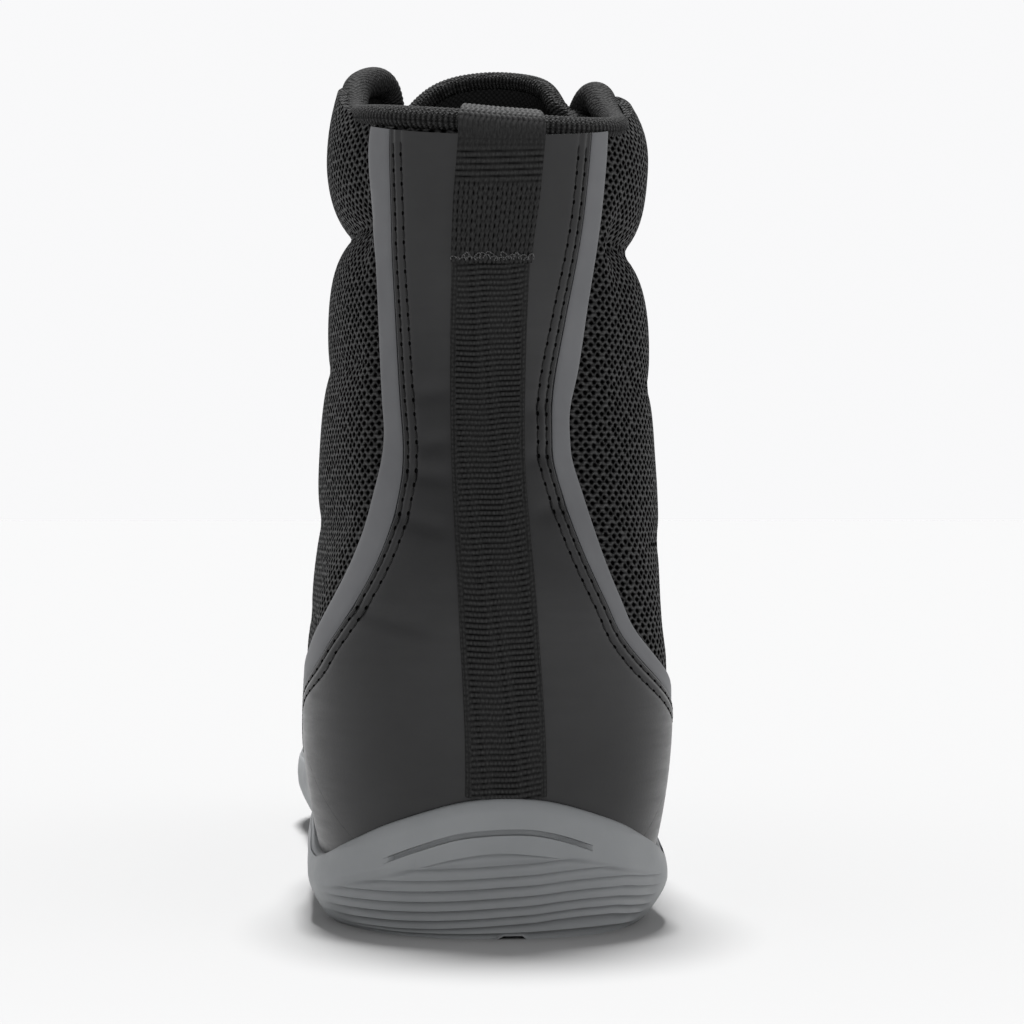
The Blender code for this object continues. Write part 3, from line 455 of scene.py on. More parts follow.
def centre_x(y, z):
    """Middle of the upper at a station and height, drawn to the back seam behind."""
    mix = step(*CENTRE_FADE, z)
    middle = smooth(PLAN, 1, y) * (1 - mix) + smooth(SHAFT, 2, z) * mix
    seam = step(*SEAM_FADE, y - back_y(z))
    return middle * (1 - seam) + smooth(BACK_LINE, 2, z) * seam


def half_width(y, z, lean=0.0):
    """Half width of the upper at a station and height, with its quilting raised by lean."""
    y = np.asarray(y, float)
    z = np.asarray(z, float)
    heel = back_y(z)
    along = np.clip((y - heel) / (front_y(z) - heel), 0, 1)
    wide = smooth(PLAN, 4, y)
    rise = np.clip((z - wide) / np.maximum(top_z(y) - wide, 1.0), 0, 1)
    dome = (1 - rise ** DOME_POWER) ** (1 / DOME_POWER)
    tuck = np.clip((wide - z) / wide, 0, 1)
    tuck = 1 - (0.08 + 0.13 * step(*TUCK_FADE, y)) * tuck ** 2
    toe = front_y(np.minimum(z, TOE_HIGH))
    ends = round_end((y - heel) / HEEL_ROUND, HEEL_POWER) * round_end((toe - y) / TOE_ROUND, 2.0)
    foot = smooth(PLAN, 3, y) * ends * dome * tuck
    shaft = smooth(SHAFT, 1, z) * (1 - np.abs(2 * along - 1) ** SHAFT_POWER) ** (1 / SHAFT_POWER)
    mix = step(*SHAFT_FADE, z)
    quilt = sum(depth * np.exp(-np.abs(z - level - lean) / width) for level, depth, width in QUILTS)
    quilt = quilt * step(*QUILT_BACK, along) * step(*QUILT_FRONT, along) * step(*QUILT_LOW, z)
    return np.maximum(foot * (1 - mix) + shaft * mix - quilt, 0)


def head_row(z):
    """Section that meets the front line at a height."""
    return np.interp(z, HEADS, range(len(SECTIONS)))


def back_height(t):
    """Height where a section meets the back line."""
    return np.interp(t, range(CORNER + 1, len(SECTIONS)), BACKS)


def back_row(z):
    """Section that meets the back line at a height."""
    return np.interp(z, BACKS, range(CORNER + 1, len(SECTIONS)))


def section_ends(t):
    """Foot and head of a section in the side view."""
    i = int(min(max(np.floor(t), 0), len(SECTIONS) - 2))
    k = t - i
    low = SECTIONS[i][0]
    high = SECTIONS[i + 1][0]
    head_z = np.interp(t, range(len(SECTIONS)), HEADS)
    if i < CORNER:
        foot_y = low * (1 - k) + high * k
        foot = (foot_y, float(floor_z(foot_y)) + GAP)
    else:
        start = float(floor_z(low)) + GAP if i == CORNER else low
        foot_z = start * (1 - k) + high * k
        foot = (float(back_y(foot_z)), foot_z)
    return foot, (float(front_y(head_z)), float(head_z))


def collar_tuck(side, t, share):
    """Inward turn of the padded sides below the collar rim."""
    near = np.clip(t - TOP + 1.0, 0, 1) ** 3
    return COLLAR_TUCK[side] * near * within(TUCK_ENDS, share)


def collar_rise(side, t, share):
    """Lift of the padded sides towards the collar rim."""
    return smooth(RIM_RISE, 1 + side, share) * np.clip(t - TOP + 1.0, 0, 1) ** 2


def make_skin():
    """Outer surface of the upper as two half grids, with outward normals and section lengths."""
    count = (len(SECTIONS) - 1) * FINE + 1
    point = np.zeros((2, count, COLS, 3))
    length = np.zeros((2, count))
    along = spread(481)
    for r in range(count):
        foot, head = section_ends(r / FINE)
        y = foot[0] + (head[0] - foot[0]) * along
        z = foot[1] + (head[1] - foot[1]) * along
        for side in BOTH:
            wide = half_width(y, z, -QUILT_LEAN * SIGN[side]) * (r > 0)
            wide = np.maximum(wide - collar_tuck(side, r / FINE, along), 0)
            wide[-1] = 0.0
            wide[0] *= r < CORNER * FINE
            high = z + collar_rise(side, r / FINE, along)
            line = np.stack([centre_x(y, z) + SIGN[side] * wide, y, high], axis=1)
            run = run_length(line)
            length[side, r] = run[-1]
            for axis in range(3):
                point[side, r, :, axis] = np.interp(SHARES * run[-1], run, line[:, axis])
    normal = np.zeros_like(point)
    for side in BOTH:
        up, ahead = np.gradient(point[side], axis=(0, 1))
        normal[side] = unit(np.cross(up, ahead) * -SIGN[side])
    if normal[LATERAL, count // 2, COLS // 2, 0] < 0:
        normal = -normal
    for rows, cols in ((slice(None), -1), (slice(CORNER * FINE, None), 0), (0, slice(None))):
        normal[:, rows, cols] = unit(normal[LATERAL, rows, cols] + normal[MEDIAL, rows, cols])
    normal[:, 0, -1] = normal[:, 0, -2]
    return point, normal, length


SKIN, SKIN_N, SKIN_LEN = make_skin()


def lookup(grid, side, t, f):
    """Values of a skin grid at arrays of sections and shares."""
    row = np.clip(np.asarray(t, float) * FINE, 0, grid.shape[1] - 1.0001)
    column = np.clip(np.asarray(f, float) * (COLS - 1), 0, COLS - 1.0001)
    return between(grid[side], row, column)


def skin_normal(side, t, f):
    return unit(lookup(SKIN_N, side, t, f))


def skin(side, t, f, off=0.0):
    """Points on the skin, moved outward by off."""
    return lookup(SKIN, side, t, f) + skin_normal(side, t, f) * np.asarray(off, float)[..., None]


def row_length(side, t):
    """Length of half sections of the skin."""
    return np.interp(np.asarray(t) * FINE, range(SKIN_LEN.shape[1]), SKIN_LEN[side])


def by_side(s, sides):
    """Lateral points where s is positive, medial points elsewhere."""
    return np.where((s >= 0)[..., None], sides[LATERAL], sides[MEDIAL])


def beside_seam(t, s, off):
    """Points beside the back seam by section, signed distance and offset."""
    return by_side(s, [skin(side, t, np.abs(s) / row_length(side, t), off) for side in BOTH])


def throat_share(side, t):
    """Share along a half section where the throat begins."""
    half = float(np.interp(t, range(len(SECTIONS)), [row[2] for row in SECTIONS]))
    if half <= 0:
        return 1.0
    half += SIGN[side] * THROAT_LEAN * float(step(SHAFT_ROW, TOP, t))
    front = COLS // 2
    line = lookup(SKIN, side, t, SHARES[front:])
    away = np.abs(line[:, 0] - centre_x(line[:, 1], line[:, 2]))
    return float(np.interp(-half, -np.maximum.accumulate(away[::-1])[::-1], SHARES[front:]))


def make_wrap():
    """Distance round the shoe from the back seam, per side, millimetre of height and share to the front."""
    levels = np.arange(206.0)
    shares = spread(201)
    table = np.zeros((2, len(levels), len(shares)))
    for i, z in enumerate(levels):
        y = back_y(z) + (front_y(z) - back_y(z)) * shares
        for side in BOTH:
            x = centre_x(y, z) + SIGN[side] * half_width(y, z)
            table[side, i] = run_length(np.stack([x, y], axis=1))
    return shares, table


WRAP_SPREAD, WRAP = make_wrap()


def wrap_at(side, y, z):
    """Distance round the shoe from the back seam to points."""
    heel = back_y(z)
    share = np.clip((y - heel) / (front_y(z) - heel), 0, 1)
    return between(WRAP[side], z, np.interp(share, WRAP_SPREAD, range(len(WRAP_SPREAD))))


def make_rise():
    """Length of the cloth up the side and over the vamp, per station and share of the height."""
    stations = np.arange(100.0, 284.0, 1.5)
    share = 1 - np.linspace(1, 0, 160) ** 2
    table = np.zeros((len(stations), len(share)))
    for i, y in enumerate(stations):
        z = share * top_z(y)
        table[i] = run_length(np.stack([half_width(y, z), z], axis=1))
    return stations, table


RISE_Y, RISE = make_rise()


def flat_at(side, point):
    """Place of skin points on flat cloth in millimetres: round the shoe from the back seam, and up."""
    y = point[..., 1]
    z = point[..., 2]
    fore = step(*VAMP_FADE, y)
    level = z + (np.minimum(z, smooth(PLAN, 4, y)) - z) * fore
    mean = (WRAP[LATERAL, :, -1] + WRAP[MEDIAL, :, -1]) / 2
    stretch = np.interp(level, range(WRAP.shape[1]), mean / WRAP[side, :, -1])
    row = np.interp(y, RISE_Y, range(len(RISE_Y)))
    column = (1 - np.sqrt(1 - np.clip(z / top_z(y), 0, 1))) * (RISE.shape[1] - 1.001)
    up = z + (between(RISE, row, column) - z) * fore
    return np.stack([wrap_at(side, y, level) * stretch, up, 0 * z], axis=-1)


def flat_of(across, along, relief=0.0):
    """Flat places of a grid of points: across, along, and the relief of the weave, which the woven and knit
    materials turn into painted shade and highlight.
    """
    return np.stack(np.broadcast_arrays(across, along, relief), axis=-1).reshape(-1, 3)


def from_edge(side, line):
    """Distance of points on a half section inside the heel panel's edge, square to that edge."""
    z = line[:, 2]
    edge = smooth(PANEL_EDGE, 1 + side, z)
    slope = smooth(PANEL_EDGE, 1 + side, z + 0.5) - smooth(PANEL_EDGE, 1 + side, z - 0.5)
    return (edge - wrap_at(side, line[:, 1], z)) / np.sqrt(1 + slope ** 2)


def inset_shares(side, t, insets):
    """Shares along a half section at distances inside the heel panel's edge."""
    inside = from_edge(side, lookup(SKIN, side, t, SHARES))
    return np.interp(-np.asarray(insets, float), -np.minimum.accumulate(inside), SHARES)


def band_columns(side, t):
    """Shares along a half section across the trim band, from the panel's edge outward."""
    line = lookup(SKIN, side, t, SHARES)
    part = (-from_edge(side, line) - GAP) / smooth(TRIM_WIDE, 1 + side, line[:, 2])
    return np.interp(TRIM_PARTS, np.maximum.accumulate(part), SHARES)


def grid_quads(rows, cols):
    a = (np.arange(rows - 1)[:, None] * cols + np.arange(cols - 1)).ravel()
    return np.stack([a, a + 1, a + cols + 1, a + cols], axis=1)


def facing(points, normals, faces):
    """Quads, all turned over if most of them face against the normals."""
    a, b, c = (points[faces[:, k]] for k in (0, 1, 2))
    turn = np.sum(np.cross(b - a, c - a) * normals[faces[:, 0]])
    return faces if turn > 0 else faces[:, ::-1]


def weld(points, faces, bins):
    """Which points to keep, one at each place, and the faces between them."""
    places = np.round(points * bins).astype(int)
    first, index = np.unique(places, axis=0, return_index=True, return_inverse=True)[1:]
    return first, index.reshape(-1)[faces]


def patch(rows, columns, sides=BOTH):
    """Welded skin patch: points, normals, flat places, quads, and the column of each point.

    The function columns gives the shares along one section of a side.
    """
    point, normal, flat, column, faces = [], [], [], [], []
    for side in sides:
        f = np.array([columns(side, t) for t in rows])
        t = np.broadcast_to(np.asarray(rows)[:, None], f.shape)
        p = lookup(SKIN, side, t, f)
        quads = grid_quads(*f.shape) + sum(map(len, point))
        faces.append(quads if side == MEDIAL else quads[:, ::-1])
        point.append(p.reshape(-1, 3))
        normal.append(skin_normal(side, t, f).reshape(-1, 3))
        flat.append(flat_at(side, p).reshape(-1, 3))
        column.append(np.broadcast_to(np.arange(f.shape[1]), f.shape).ravel())
    first, quads = weld(np.concatenate(point), np.concatenate(faces), WELD_SKIN)
    point, normal, flat, column = (np.concatenate(layer)[first] for layer in (point, normal, flat, column))
    return point, normal, flat, facing(point, normal, quads), column


def thicken(points, normals, faces, lo, hi):
    """Closed shell between two offsets of a patch."""
    count = len(points)
    lo = np.broadcast_to(lo, (count,))[:, None]
    hi = np.broadcast_to(hi, (count,))[:, None]
    verts = np.concatenate([points + normals * hi, points + normals * lo])
    edges = np.concatenate([faces[:, [k, (k + 1) % 4]] for k in range(4)])
    ahead = edges[:, 0] * count + edges[:, 1]
    rim = edges[~np.isin(ahead, edges[:, 1] * count + edges[:, 0])]
    sides = np.stack([rim[:, 1], rim[:, 0], rim[:, 0] + count, rim[:, 1] + count], axis=1)
    return verts, np.concatenate([faces, faces[:, ::-1] + count, sides])


def sheet(grid, lo, hi):
    """Closed shell round a grid of points, by its own normals."""
    normal = unit(np.cross(np.gradient(grid, axis=1), np.gradient(grid, axis=0)))
    faces = grid_quads(*grid.shape[:2])
    return thicken(grid.reshape(-1, 3), normal.reshape(-1, 3), faces, np.ravel(lo), np.ravel(hi))


def cords(path, up, wide, high, sides):
    """Closed oval cords along rows of points, with the half width and half height at each point."""
    ahead = unit(np.gradient(path, axis=1))
    up = unit(up - ahead * np.sum(up * ahead, axis=-1, keepdims=True))
    across = np.cross(ahead, up)
    turn = 2 * np.pi * np.arange(sides) / sides
    wide = np.broadcast_to(wide, path.shape[:2] + (sides,))[..., None]
    high = np.broadcast_to(high, path.shape[:2] + (sides,))[..., None]
    ring = across[:, :, None] * wide * np.cos(turn)[:, None] + up[:, :, None] * high * np.sin(turn)[:, None]
    ring = path[:, :, None] + ring
    count, long = path.shape[:2]
    k = np.arange(sides)
    after = (k + 1) % sides
    body = np.stack([k, after, after + sides, k + sides], axis=1)
    body = (body[None] + (np.arange(long - 1) * sides)[:, None, None]).reshape(-1, 4)
    tail = np.full(sides, long * sides)
    first = np.stack([after, k, tail, tail], axis=1)
    last = np.stack([k + (long - 1) * sides, after + (long - 1) * sides, tail + 1, tail + 1], axis=1)
    one = np.concatenate([body, first, last])
    verts = np.concatenate([ring.reshape(count, -1, 3), path[:, :1], path[:, -1:]], axis=1)
    faces = one[None] + (np.arange(count) * verts.shape[1])[:, None, None]
    return verts.reshape(-1, 3), faces.reshape(-1, 4)


def build(name, verts, faces, materials, slot, node=None, flat=None, part=None, sharp=40):
    """One visual piece in the frame's metres, for a CAD node where one is named."""
    loops = [list(dict.fromkeys(loop)) for loop in faces.tolist()]
    keep = [k for k, loop in enumerate(loops) if len(loop) > 2]
    mesh = bpy.data.meshes.new(name)
    mesh.from_pydata(((verts - LAST_MIDDLE) * MM).tolist(), [], [loops[k] for k in keep])
    if flat is not None:
        layer = mesh.attributes.new("flat", "FLOAT_VECTOR", "POINT")
        # The two layers of a shell share one set of flat places.
        layer.data.foreach_set("vector", np.resize(flat, verts.shape).astype(np.float32).ravel())
    for made in materials:
        mesh.materials.append(made)
    if part is not None:
        mesh.polygons.foreach_set("material_index", np.asarray(part, np.int32)[keep])
    mesh.polygons.foreach_set("use_smooth", np.ones(len(keep), bool))
    mesh.set_sharp_from_angle(angle=np.radians(sharp))
    mesh.update()
    piece = bpy.data.objects.new(name, mesh)
    bpy.context.scene.collection.objects.link(piece)
    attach(piece, "root")
    if node:
        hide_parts(node)
    return piece


def node(tree, kind, inputs=None, **settings):
    """One shader node, with its sockets set or linked."""
    made = tree.nodes.new("ShaderNode" + kind)
    for key, value in settings.items():
        setattr(made, key, value)
    for key, value in (inputs or {}).items():
        if isinstance(value, bpy.types.NodeSocket):
            tree.links.new(value, made.inputs[key])
        else:
            made.inputs[key].default_value = value
    return made


def ramp(tree, value, stops):
    """Colour ramp from a list of places and greys or colours."""
    made = node(tree, "ValToRGB", {"Fac": value})
    line = made.color_ramp
    while len(line.elements) < len(stops):
        line.elements.new(0.5)
    for element, (place, colour) in zip(line.elements, stops):
        element.position = place
        element.color = (*(colour if isinstance(colour, tuple) else (colour,) * 3), 1.0)
    return made.outputs["Color"]


def finish(name, rough, specular=0.5, colour=(0.02, 0.02, 0.02), **sockets):
    """New material with a Principled shader set to constants."""
    made = bpy.data.materials.new(name)
    made.use_nodes = True
    shader = made.node_tree.nodes["Principled BSDF"]
    shader.inputs["Base Color"].default_value = (*colour, 1.0)
    shader.inputs["Roughness"].default_value = rough
    shader.inputs["Specular IOR Level"].default_value = specular
    for key, value in sockets.items():
        shader.inputs[key.replace("_", " ")].default_value = value
    return made, made.node_tree, shader


def paint(shader, value, socket="Base Color"):
    """Link a colour or value to a socket of a shader."""
    shader.id_data.links.new(value, shader.inputs[socket])


def bump(shader, height, strength, distance):
    """Surface relief of a material, with its depth in millimetres."""
    sockets = {"Height": height, "Strength": strength, "Distance": distance * MM}
    paint(shader, node(shader.id_data, "Bump", sockets).outputs["Normal"], "Normal")


def cloth_place(tree):
    return node(tree, "Attribute", attribute_name="flat").outputs["Vector"]


def solid_place(tree):
    """Place on a solid piece in millimetres."""
    place = node(tree, "TexCoord").outputs["Object"]
    return node(tree, "VectorMath", {0: place, "Scale": 1 / MM}, operation="SCALE").outputs["Vector"]


def stretched(tree, place, scale):
    return node(tree, "Mapping", {"Vector": place, "Scale": scale}).outputs["Vector"]


def depth_of(tree, place):
    return node(tree, "SeparateXYZ", {0: place}).outputs["Z"]


def lattice(tree, place, wide, high, loose=0.0):
    """Distance from the nearest point of a staggered lattice, 0 at the point."""
    scale = (np.sqrt(2) / wide, np.sqrt(2) / high, 1.0)
    turned = node(tree, "Mapping", {"Vector": place, "Scale": scale, "Rotation": (0, 0, np.pi / 4)})
    sockets = {"Vector": turned.outputs["Vector"], "Scale": 1.0, "Randomness": loose}
    return node(tree, "TexVoronoi", sockets, voronoi_dimensions="2D").outputs["Distance"]


def noise(tree, place, scale, detail=3.0, rough=0.5):
    made = node(tree, "TexNoise", {"Vector": place, "Scale": scale, "Detail": detail, "Roughness": rough})
    return made.outputs["Fac"]


def blend(tree, kind, a, b, amount=1.0):
    """Mix of two values or colours."""
    made = node(tree, "Mix", {"Factor": amount}, data_type="RGBA", blend_type=kind)
    for key, value in ((6, a), (7, b)):
        if isinstance(value, bpy.types.NodeSocket):
            tree.links.new(value, made.inputs[key])
        else:
            made.inputs[key].default_value = (*(value,) * 3, 1.0)
    return made.outputs[2]


def mesh_cloth():
    """Black spacer mesh: rows of filaments over staggered holes; the holes' near-black is partly the dark
    layer beneath and partly painted shade.
    """
    made, tree, shader = finish("spacer_mesh", 0.6)
    place = cloth_place(tree)
    near = lattice(tree, place, *MESH_CELL, 0.3)
    wander = noise(tree, stretched(tree, place, (0.7, 2.4, 0.0)), 1.0, 3.0, 0.6)
    sockets = {"Vector": place, "Scale": MESH_ROWS, "Distortion": 0.6, "Detail Scale": 3.0}
    rows = node(tree, "TexWave", sockets, bands_direction="Y").outputs["Fac"]
    # Colour by distance from the lattice points: near-black holes, painted shade over the dark inner layer,
    # rising to the filament tone.
    hole_shaded_net = ramp(tree, near, ((0.14, 0.0007), (0.24, 0.0045), (0.34, 0.02), (0.46, 0.037), (0.64, 0.045)))
    hole_shaded_net = blend(tree, "MULTIPLY", hole_shaded_net, ramp(tree, rows, ((0.15, 0.25), (0.7, 1.25))))
    paint(shader, blend(tree, "MULTIPLY", hole_shaded_net, ramp(tree, wander, ((0.3, 0.35), (0.7, 1.4)))))
    paint(shader, ramp(tree, near, ((0.3, 0.0), (0.5, 0.12))), "Specular IOR Level")
    bump(shader, ramp(tree, near, ((0.15, 0.0), (0.45, 0.75), (0.62, 1.0))), 1.0, 0.6)
    return made


def fine_knit(name, rough, specular, cell, loose, tones, reach, strength):
    """Dark fine-knit cloth: pale yarns at the points of a lattice, darker between them."""
    made, tree, shader = finish(name, rough, specular)
    near = lattice(tree, cloth_place(tree), *cell, loose)
    paint(shader, ramp(tree, near, ((0.1, tones[0]), (reach, tones[1]))))
    bump(shader, ramp(tree, near, ((0.0, 1.0), (reach, 0.0))), strength, 0.25)
    return made


def lining(name, grey, cell):
    return fine_knit(name, 0.85, 0.08, (cell, cell), 0.15, (grey * 1.3, grey * 0.4), 0.6, 0.7)


def clouded(name, rough, specular, cloud, tones, **sockets):
    """Smooth material whose tone drifts in soft clouds."""
    made, tree, shader = finish(name, rough, specular, **sockets)
    place = solid_place(tree)
    paint(shader, ramp(tree, noise(tree, place, *cloud), tones))
    return made, tree, shader, place


def leather():
    """Semi-matte black synthetic leather with a fine grain and faint rubs."""
    tones = ((0.35, (0.007, 0.007, 0.0076)), (0.7, (0.012, 0.012, 0.0128)))
    made, tree, shader, place = clouded("panel_leather", 0.4, 0.4, (0.05, 5.0, 0.6), tones,
                                        Sheen_Weight=0.18, Sheen_Roughness=0.35)
    rub = noise(tree, stretched(tree, place, (0.25, 0.25, 1.6)), 0.35, 4.0, 0.65)
    paint(shader, ramp(tree, rub, ((0.35, 0.34), (0.75, 0.46))), "Roughness")
    grain = node(tree, "TexVoronoi", {"Vector": place, "Scale": 1.7}, feature="SMOOTH_F1")
    bump(shader, grain.outputs["Distance"], 0.12, 0.08)
    return made


def film():
    """Flat mid-grey trim film."""
    tones = ((0.3, (0.112, 0.114, 0.12)), (0.7, (0.128, 0.13, 0.136)))
    made, tree, shader, place = clouded("trim_film", 0.5, 0.3, (0.12, 4.0), tones)
    bump(shader, noise(tree, place, 2.5), 0.08, 0.05)
    return made


def woven(name, dark, light, fold):
    """Black woven webbing: painted shade in its hollows and painted highlight on its yarns, both following
    the weave's relief, and palest on the fold.
    """
    made, tree, shader = finish(name, 0.65, 0.1)
    place = cloth_place(tree)
    fuzz = noise(tree, stretched(tree, place, (3.2, 1.1, 0.0)), 1.0, 3.0, 0.6)
    stops = ((0.03, dark), (0.14, (dark + light) / 2), (0.25, light), (1.0, fold))
    # Colour follows the relief height: near-black in the hollows is painted shade, the paler crests are
    # painted highlight.
    relief_shade = ramp(tree, depth_of(tree, place), stops)
    paint(shader, blend(tree, "MULTIPLY", relief_shade, ramp(tree, fuzz, ((0.3, 0.55), (0.7, 1.4)))))
    bump(shader, fuzz, 0.5, 0.12)
    return made


def knit():
    """Black rib knit of the bound edges, with painted shade between its ribs and painted highlight on them,
    over a yarn pattern.
    """
    made, tree, shader = finish("knit_binding", 0.7, 0.12)
    place = cloth_place(tree)
    near = lattice(tree, stretched(tree, place, (1.0, 1.0, 0.0)), 0.8, 1.0, 0.5)
    # Colour by rib height: dark between the ribs is painted shade, the lit crests are painted highlight.
    rib_shade = ramp(tree, depth_of(tree, place), ((0.1, 0.0025), (0.9, 0.034)))
    paint(shader, blend(tree, "MULTIPLY", ramp(tree, near, ((0.1, 1.5), (0.7, 0.35))), rib_shade))
    bump(shader, ramp(tree, near, ((0.0, 1.0), (0.7, 0.0))), 0.8, 0.3)
    return made


def rubber():
    """Satin grey moulded rubber."""
    tones = ((0.3, (0.22, 0.229, 0.235)), (0.7, (0.245, 0.254, 0.26)))
    made, tree, shader, place = clouded("sole_rubber", 0.5, 0.3, (0.06, 5.0, 0.6), tones)
    paint(shader, ramp(tree, noise(tree, place, 0.2, 4.0), ((0.3, 0.44), (0.7, 0.56))), "Roughness")
    bump(shader, noise(tree, place, 3.0), 0.06, 0.08)
    return made


def thread(name, dark, light):
    """Twisted sewing thread."""
    made, tree, shader = finish(name, 0.55, 0.25)
    twist = node(tree, "TexWave", {"Vector": solid_place(tree), "Scale": 1.4}, bands_direction="DIAGONAL")
    paint(shader, ramp(tree, twist.outputs["Fac"], ((0.2, dark), (0.8, light))))
    return made


MESH = mesh_cloth()
LINING = lining("lining_cloth", 0.012, 0.9)
TONGUE_CLOTH = lining("tongue_cloth", 0.014, 1.2)
SOCK = lining("sock_cloth", 0.02, 0.8)
LEATHER = leather()
FILM = film()
# Webbing tones: shade painted in the hollows, highlight painted on the yarns and on the loop's fold.
WEB = woven("heel_web", 0.0004, 0.033, 0.033)
LOOP = woven("loop_web", 0.0004, 0.029, 0.085)
KNIT = knit()
RUBBER = rubber()
THREAD = thread("seam_thread", 0.006, 0.018)
# Near-black matte material for the capsules set where the needle holes are: painted shade of the holes.
PIN_HOLE_SHADE = finish("pin_hole_shade", 1.0, 0.0, (0.002, 0.002, 0.002))[0]
PALE_THREAD = thread("loop_thread", 0.02, 0.1)
CORD = fine_knit("lace_cord", 0.75, 0.15, (0.8, 1.1), 0.1, (0.022, 0.005), 0.65, 0.8)
ENAMEL = clouded("eyelet_enamel", 0.35, 0.5, (0.9, 4.0), ((0.4, 0.012), (0.75, 0.045)), Metallic=0.6)[0]


def upper_columns(side, t):
    return np.linspace(0, throat_share(side, t), UPPER_COLS)


def upper():
    """Padded mesh upper with its lining, open underneath and at throat and collar."""
    rows = np.linspace(0, TOP, TOP * UPPER_ROWS + 1)
    points, normals, flat, faces, _ = patch(rows, upper_columns)
    verts, shell = thicken(points, normals, faces, -WALL, 0.0)
    part = np.zeros(len(shell), int)
    part[len(faces):2 * len(faces)] = 1
    flat = np.concatenate([flat, flat + (0.0, WALL, 0.0)])
    build("upper_mesh", verts, shell, (MESH, LINING), "spacer_mesh", "upper", flat, part)


def panel_rows():
    """Section rows of the heel panel, from the tips of its wings to the collar."""
    rows = np.linspace(8, TOP - 0.05, PANEL_ROWS)
    return np.array([t for t in rows if min(inset_shares(side, t, 0.0) for side in BOTH) > 0.02])


def panel_relief(inset):
    """Height of the leather by distance from its edge: rolled edge and two stitch channels."""
    edge = -0.45 * np.clip(1 - inset / 0.55, 0, 1) ** 2
    channels = sum(bell(inset - place, CHANNEL_HALF) for place in STITCH_INSETS)
    rib = bell(inset - sum(STITCH_INSETS) / 2, 0.5)
    return edge - CHANNEL_DEEP * channels + 0.1 * rib


def creases(points, flat):
    """Depth of the soft folds across the leather at the ankle."""
    away = flat[:, 0] * np.sign(points[:, 0] - smooth(BACK_LINE, 2, points[:, 2]))
    total = 0.0
    for height, rise, start, end, deep in CREASES:
        ends = ((start - CREASE_SOFT, start + CREASE_SOFT), (end + CREASE_SOFT, end - CREASE_SOFT))
        total = total + deep * bell(flat[:, 1] - height - rise * away, CREASE_HALF) * within(ends, away)
    return total


def panel_columns(side, t):
    """Shares of the heel panel's columns: a plain field, then close columns near its edge."""
    rim = inset_shares(side, t, RIM_INSETS)
    return np.concatenate([np.linspace(0, rim[0], FIELD_COLS + 1)[:-1], rim])


def heel_panel():
    """Leather counter and back stay with a turned edge and stitch channels."""
    points, normals, flat, faces, column = patch(panel_rows(), panel_columns)
    depth = np.concatenate([np.full(FIELD_COLS, RIM_INSETS[0]), RIM_INSETS])[column]
    top = PANEL_TOP + panel_relief(depth) - creases(points, flat)
    verts, shell = thicken(points, normals, faces, PANEL_LIFT, top)
    build("heel_panel_leather", verts, shell, (LEATHER,), "panel_leather", "heel_panel")


def edge_line(side, inset, rows):
    """Points and normals along the heel panel's edge at a distance inside it."""
    shares = np.array([float(inset_shares(side, t, inset)) for t in rows])
    on = shares > 0.004
    return skin(side, rows[on], shares[on]), skin_normal(side, rows[on], shares[on])


def stitch_row(path, normal, height, start, long, radius):
    """Capsules at the stitch pitch along a path, that dive in at both ends."""
    run = run_length(path)
    middle = np.arange(STITCH_PITCH + start, run[-1] - STITCH_PITCH, STITCH_PITCH)
    part, swell = np.array(STITCH_FORM).T
    places = middle[:, None] + part * long / 2
    up = unit(along_many(normal, run, places))
    dip = height + radius * (0.25 - 1.5 * np.abs(part) ** 4)
    line = along_many(path, run, places) + up * dip[:, None]
    thick = radius * swell[None, :, None]
    return cords(line, up, thick, thick, 6)


def along_many(values, run, places):
    """Rows of values at distances along a path."""
    return np.stack([np.interp(places, run, values[:, axis]) for axis in range(3)], axis=-1)


def join(meshes):
    """Several meshes as one."""
    start = np.cumsum([0] + [len(verts) for verts, _ in meshes])
    faces = [quads + first for (_, quads), first in zip(meshes, start)]
    return np.concatenate([verts for verts, _ in meshes]), np.concatenate(faces)


def panel_stitches():
    """Two rows of stitches round each edge of the heel panel, with near-black capsules between them as
    painted shade of the needle holes.
    """
    rows = panel_rows()
    height = PANEL_TOP - CHANNEL_DEEP
    lines = [edge_line(side, inset, rows) for side in BOTH for inset in STITCH_INSETS]
    threads = [stitch_row(*line, height, 0.0, STITCH_LONG, STITCH_R) for line in lines]
    # Dark capsules between the stitches stand in for the shade in the needle holes: painted shade.
    hole_shades = [stitch_row(*line, height, STITCH_PITCH / 2, PIN_LONG, PIN_R) for line in lines]
    build("heel_panel_stitches", *join(threads), (THREAD,), "panel_leather")
    build("heel_panel_pin_hole_shades", *join(hole_shades), (PIN_HOLE_SHADE,), "panel_leather")


def trim(side, name):
    """Flat band along one edge of the heel panel, slightly crowned."""
    points, normals, _, faces, column = patch(panel_rows(), band_columns, (side,))
    crown = 1 - np.abs(2 * TRIM_PARTS - 1) ** 8
    top = PANEL_LIFT + TRIM_THICK * (0.5 + 0.5 * crown[column])
    verts, shell = thicken(points, normals, faces, PANEL_LIFT - 0.3, top)
    build(name + "_film", verts, shell, (FILM,), "trim_film", name)


def across(t, offset, half, count):
    """Rows of points across the back seam at sections, and their distances from it."""
    s = np.linspace(-1, 1, count) * np.asarray(half, float)[:, None]
    t = np.broadcast_to(np.asarray(t, float)[:, None], s.shape)
    return beside_seam(t, s, np.broadcast_to(offset, s.shape)), s


def back_rows(low, high, pitch):
    """Sections at equal distances up the back seam."""
    t = np.linspace(low, high, 400)
    run = run_length(lookup(SKIN, LATERAL, t, 0.0))
    places = np.arange(0, run[-1], pitch)
    return np.interp(places, run, t), places


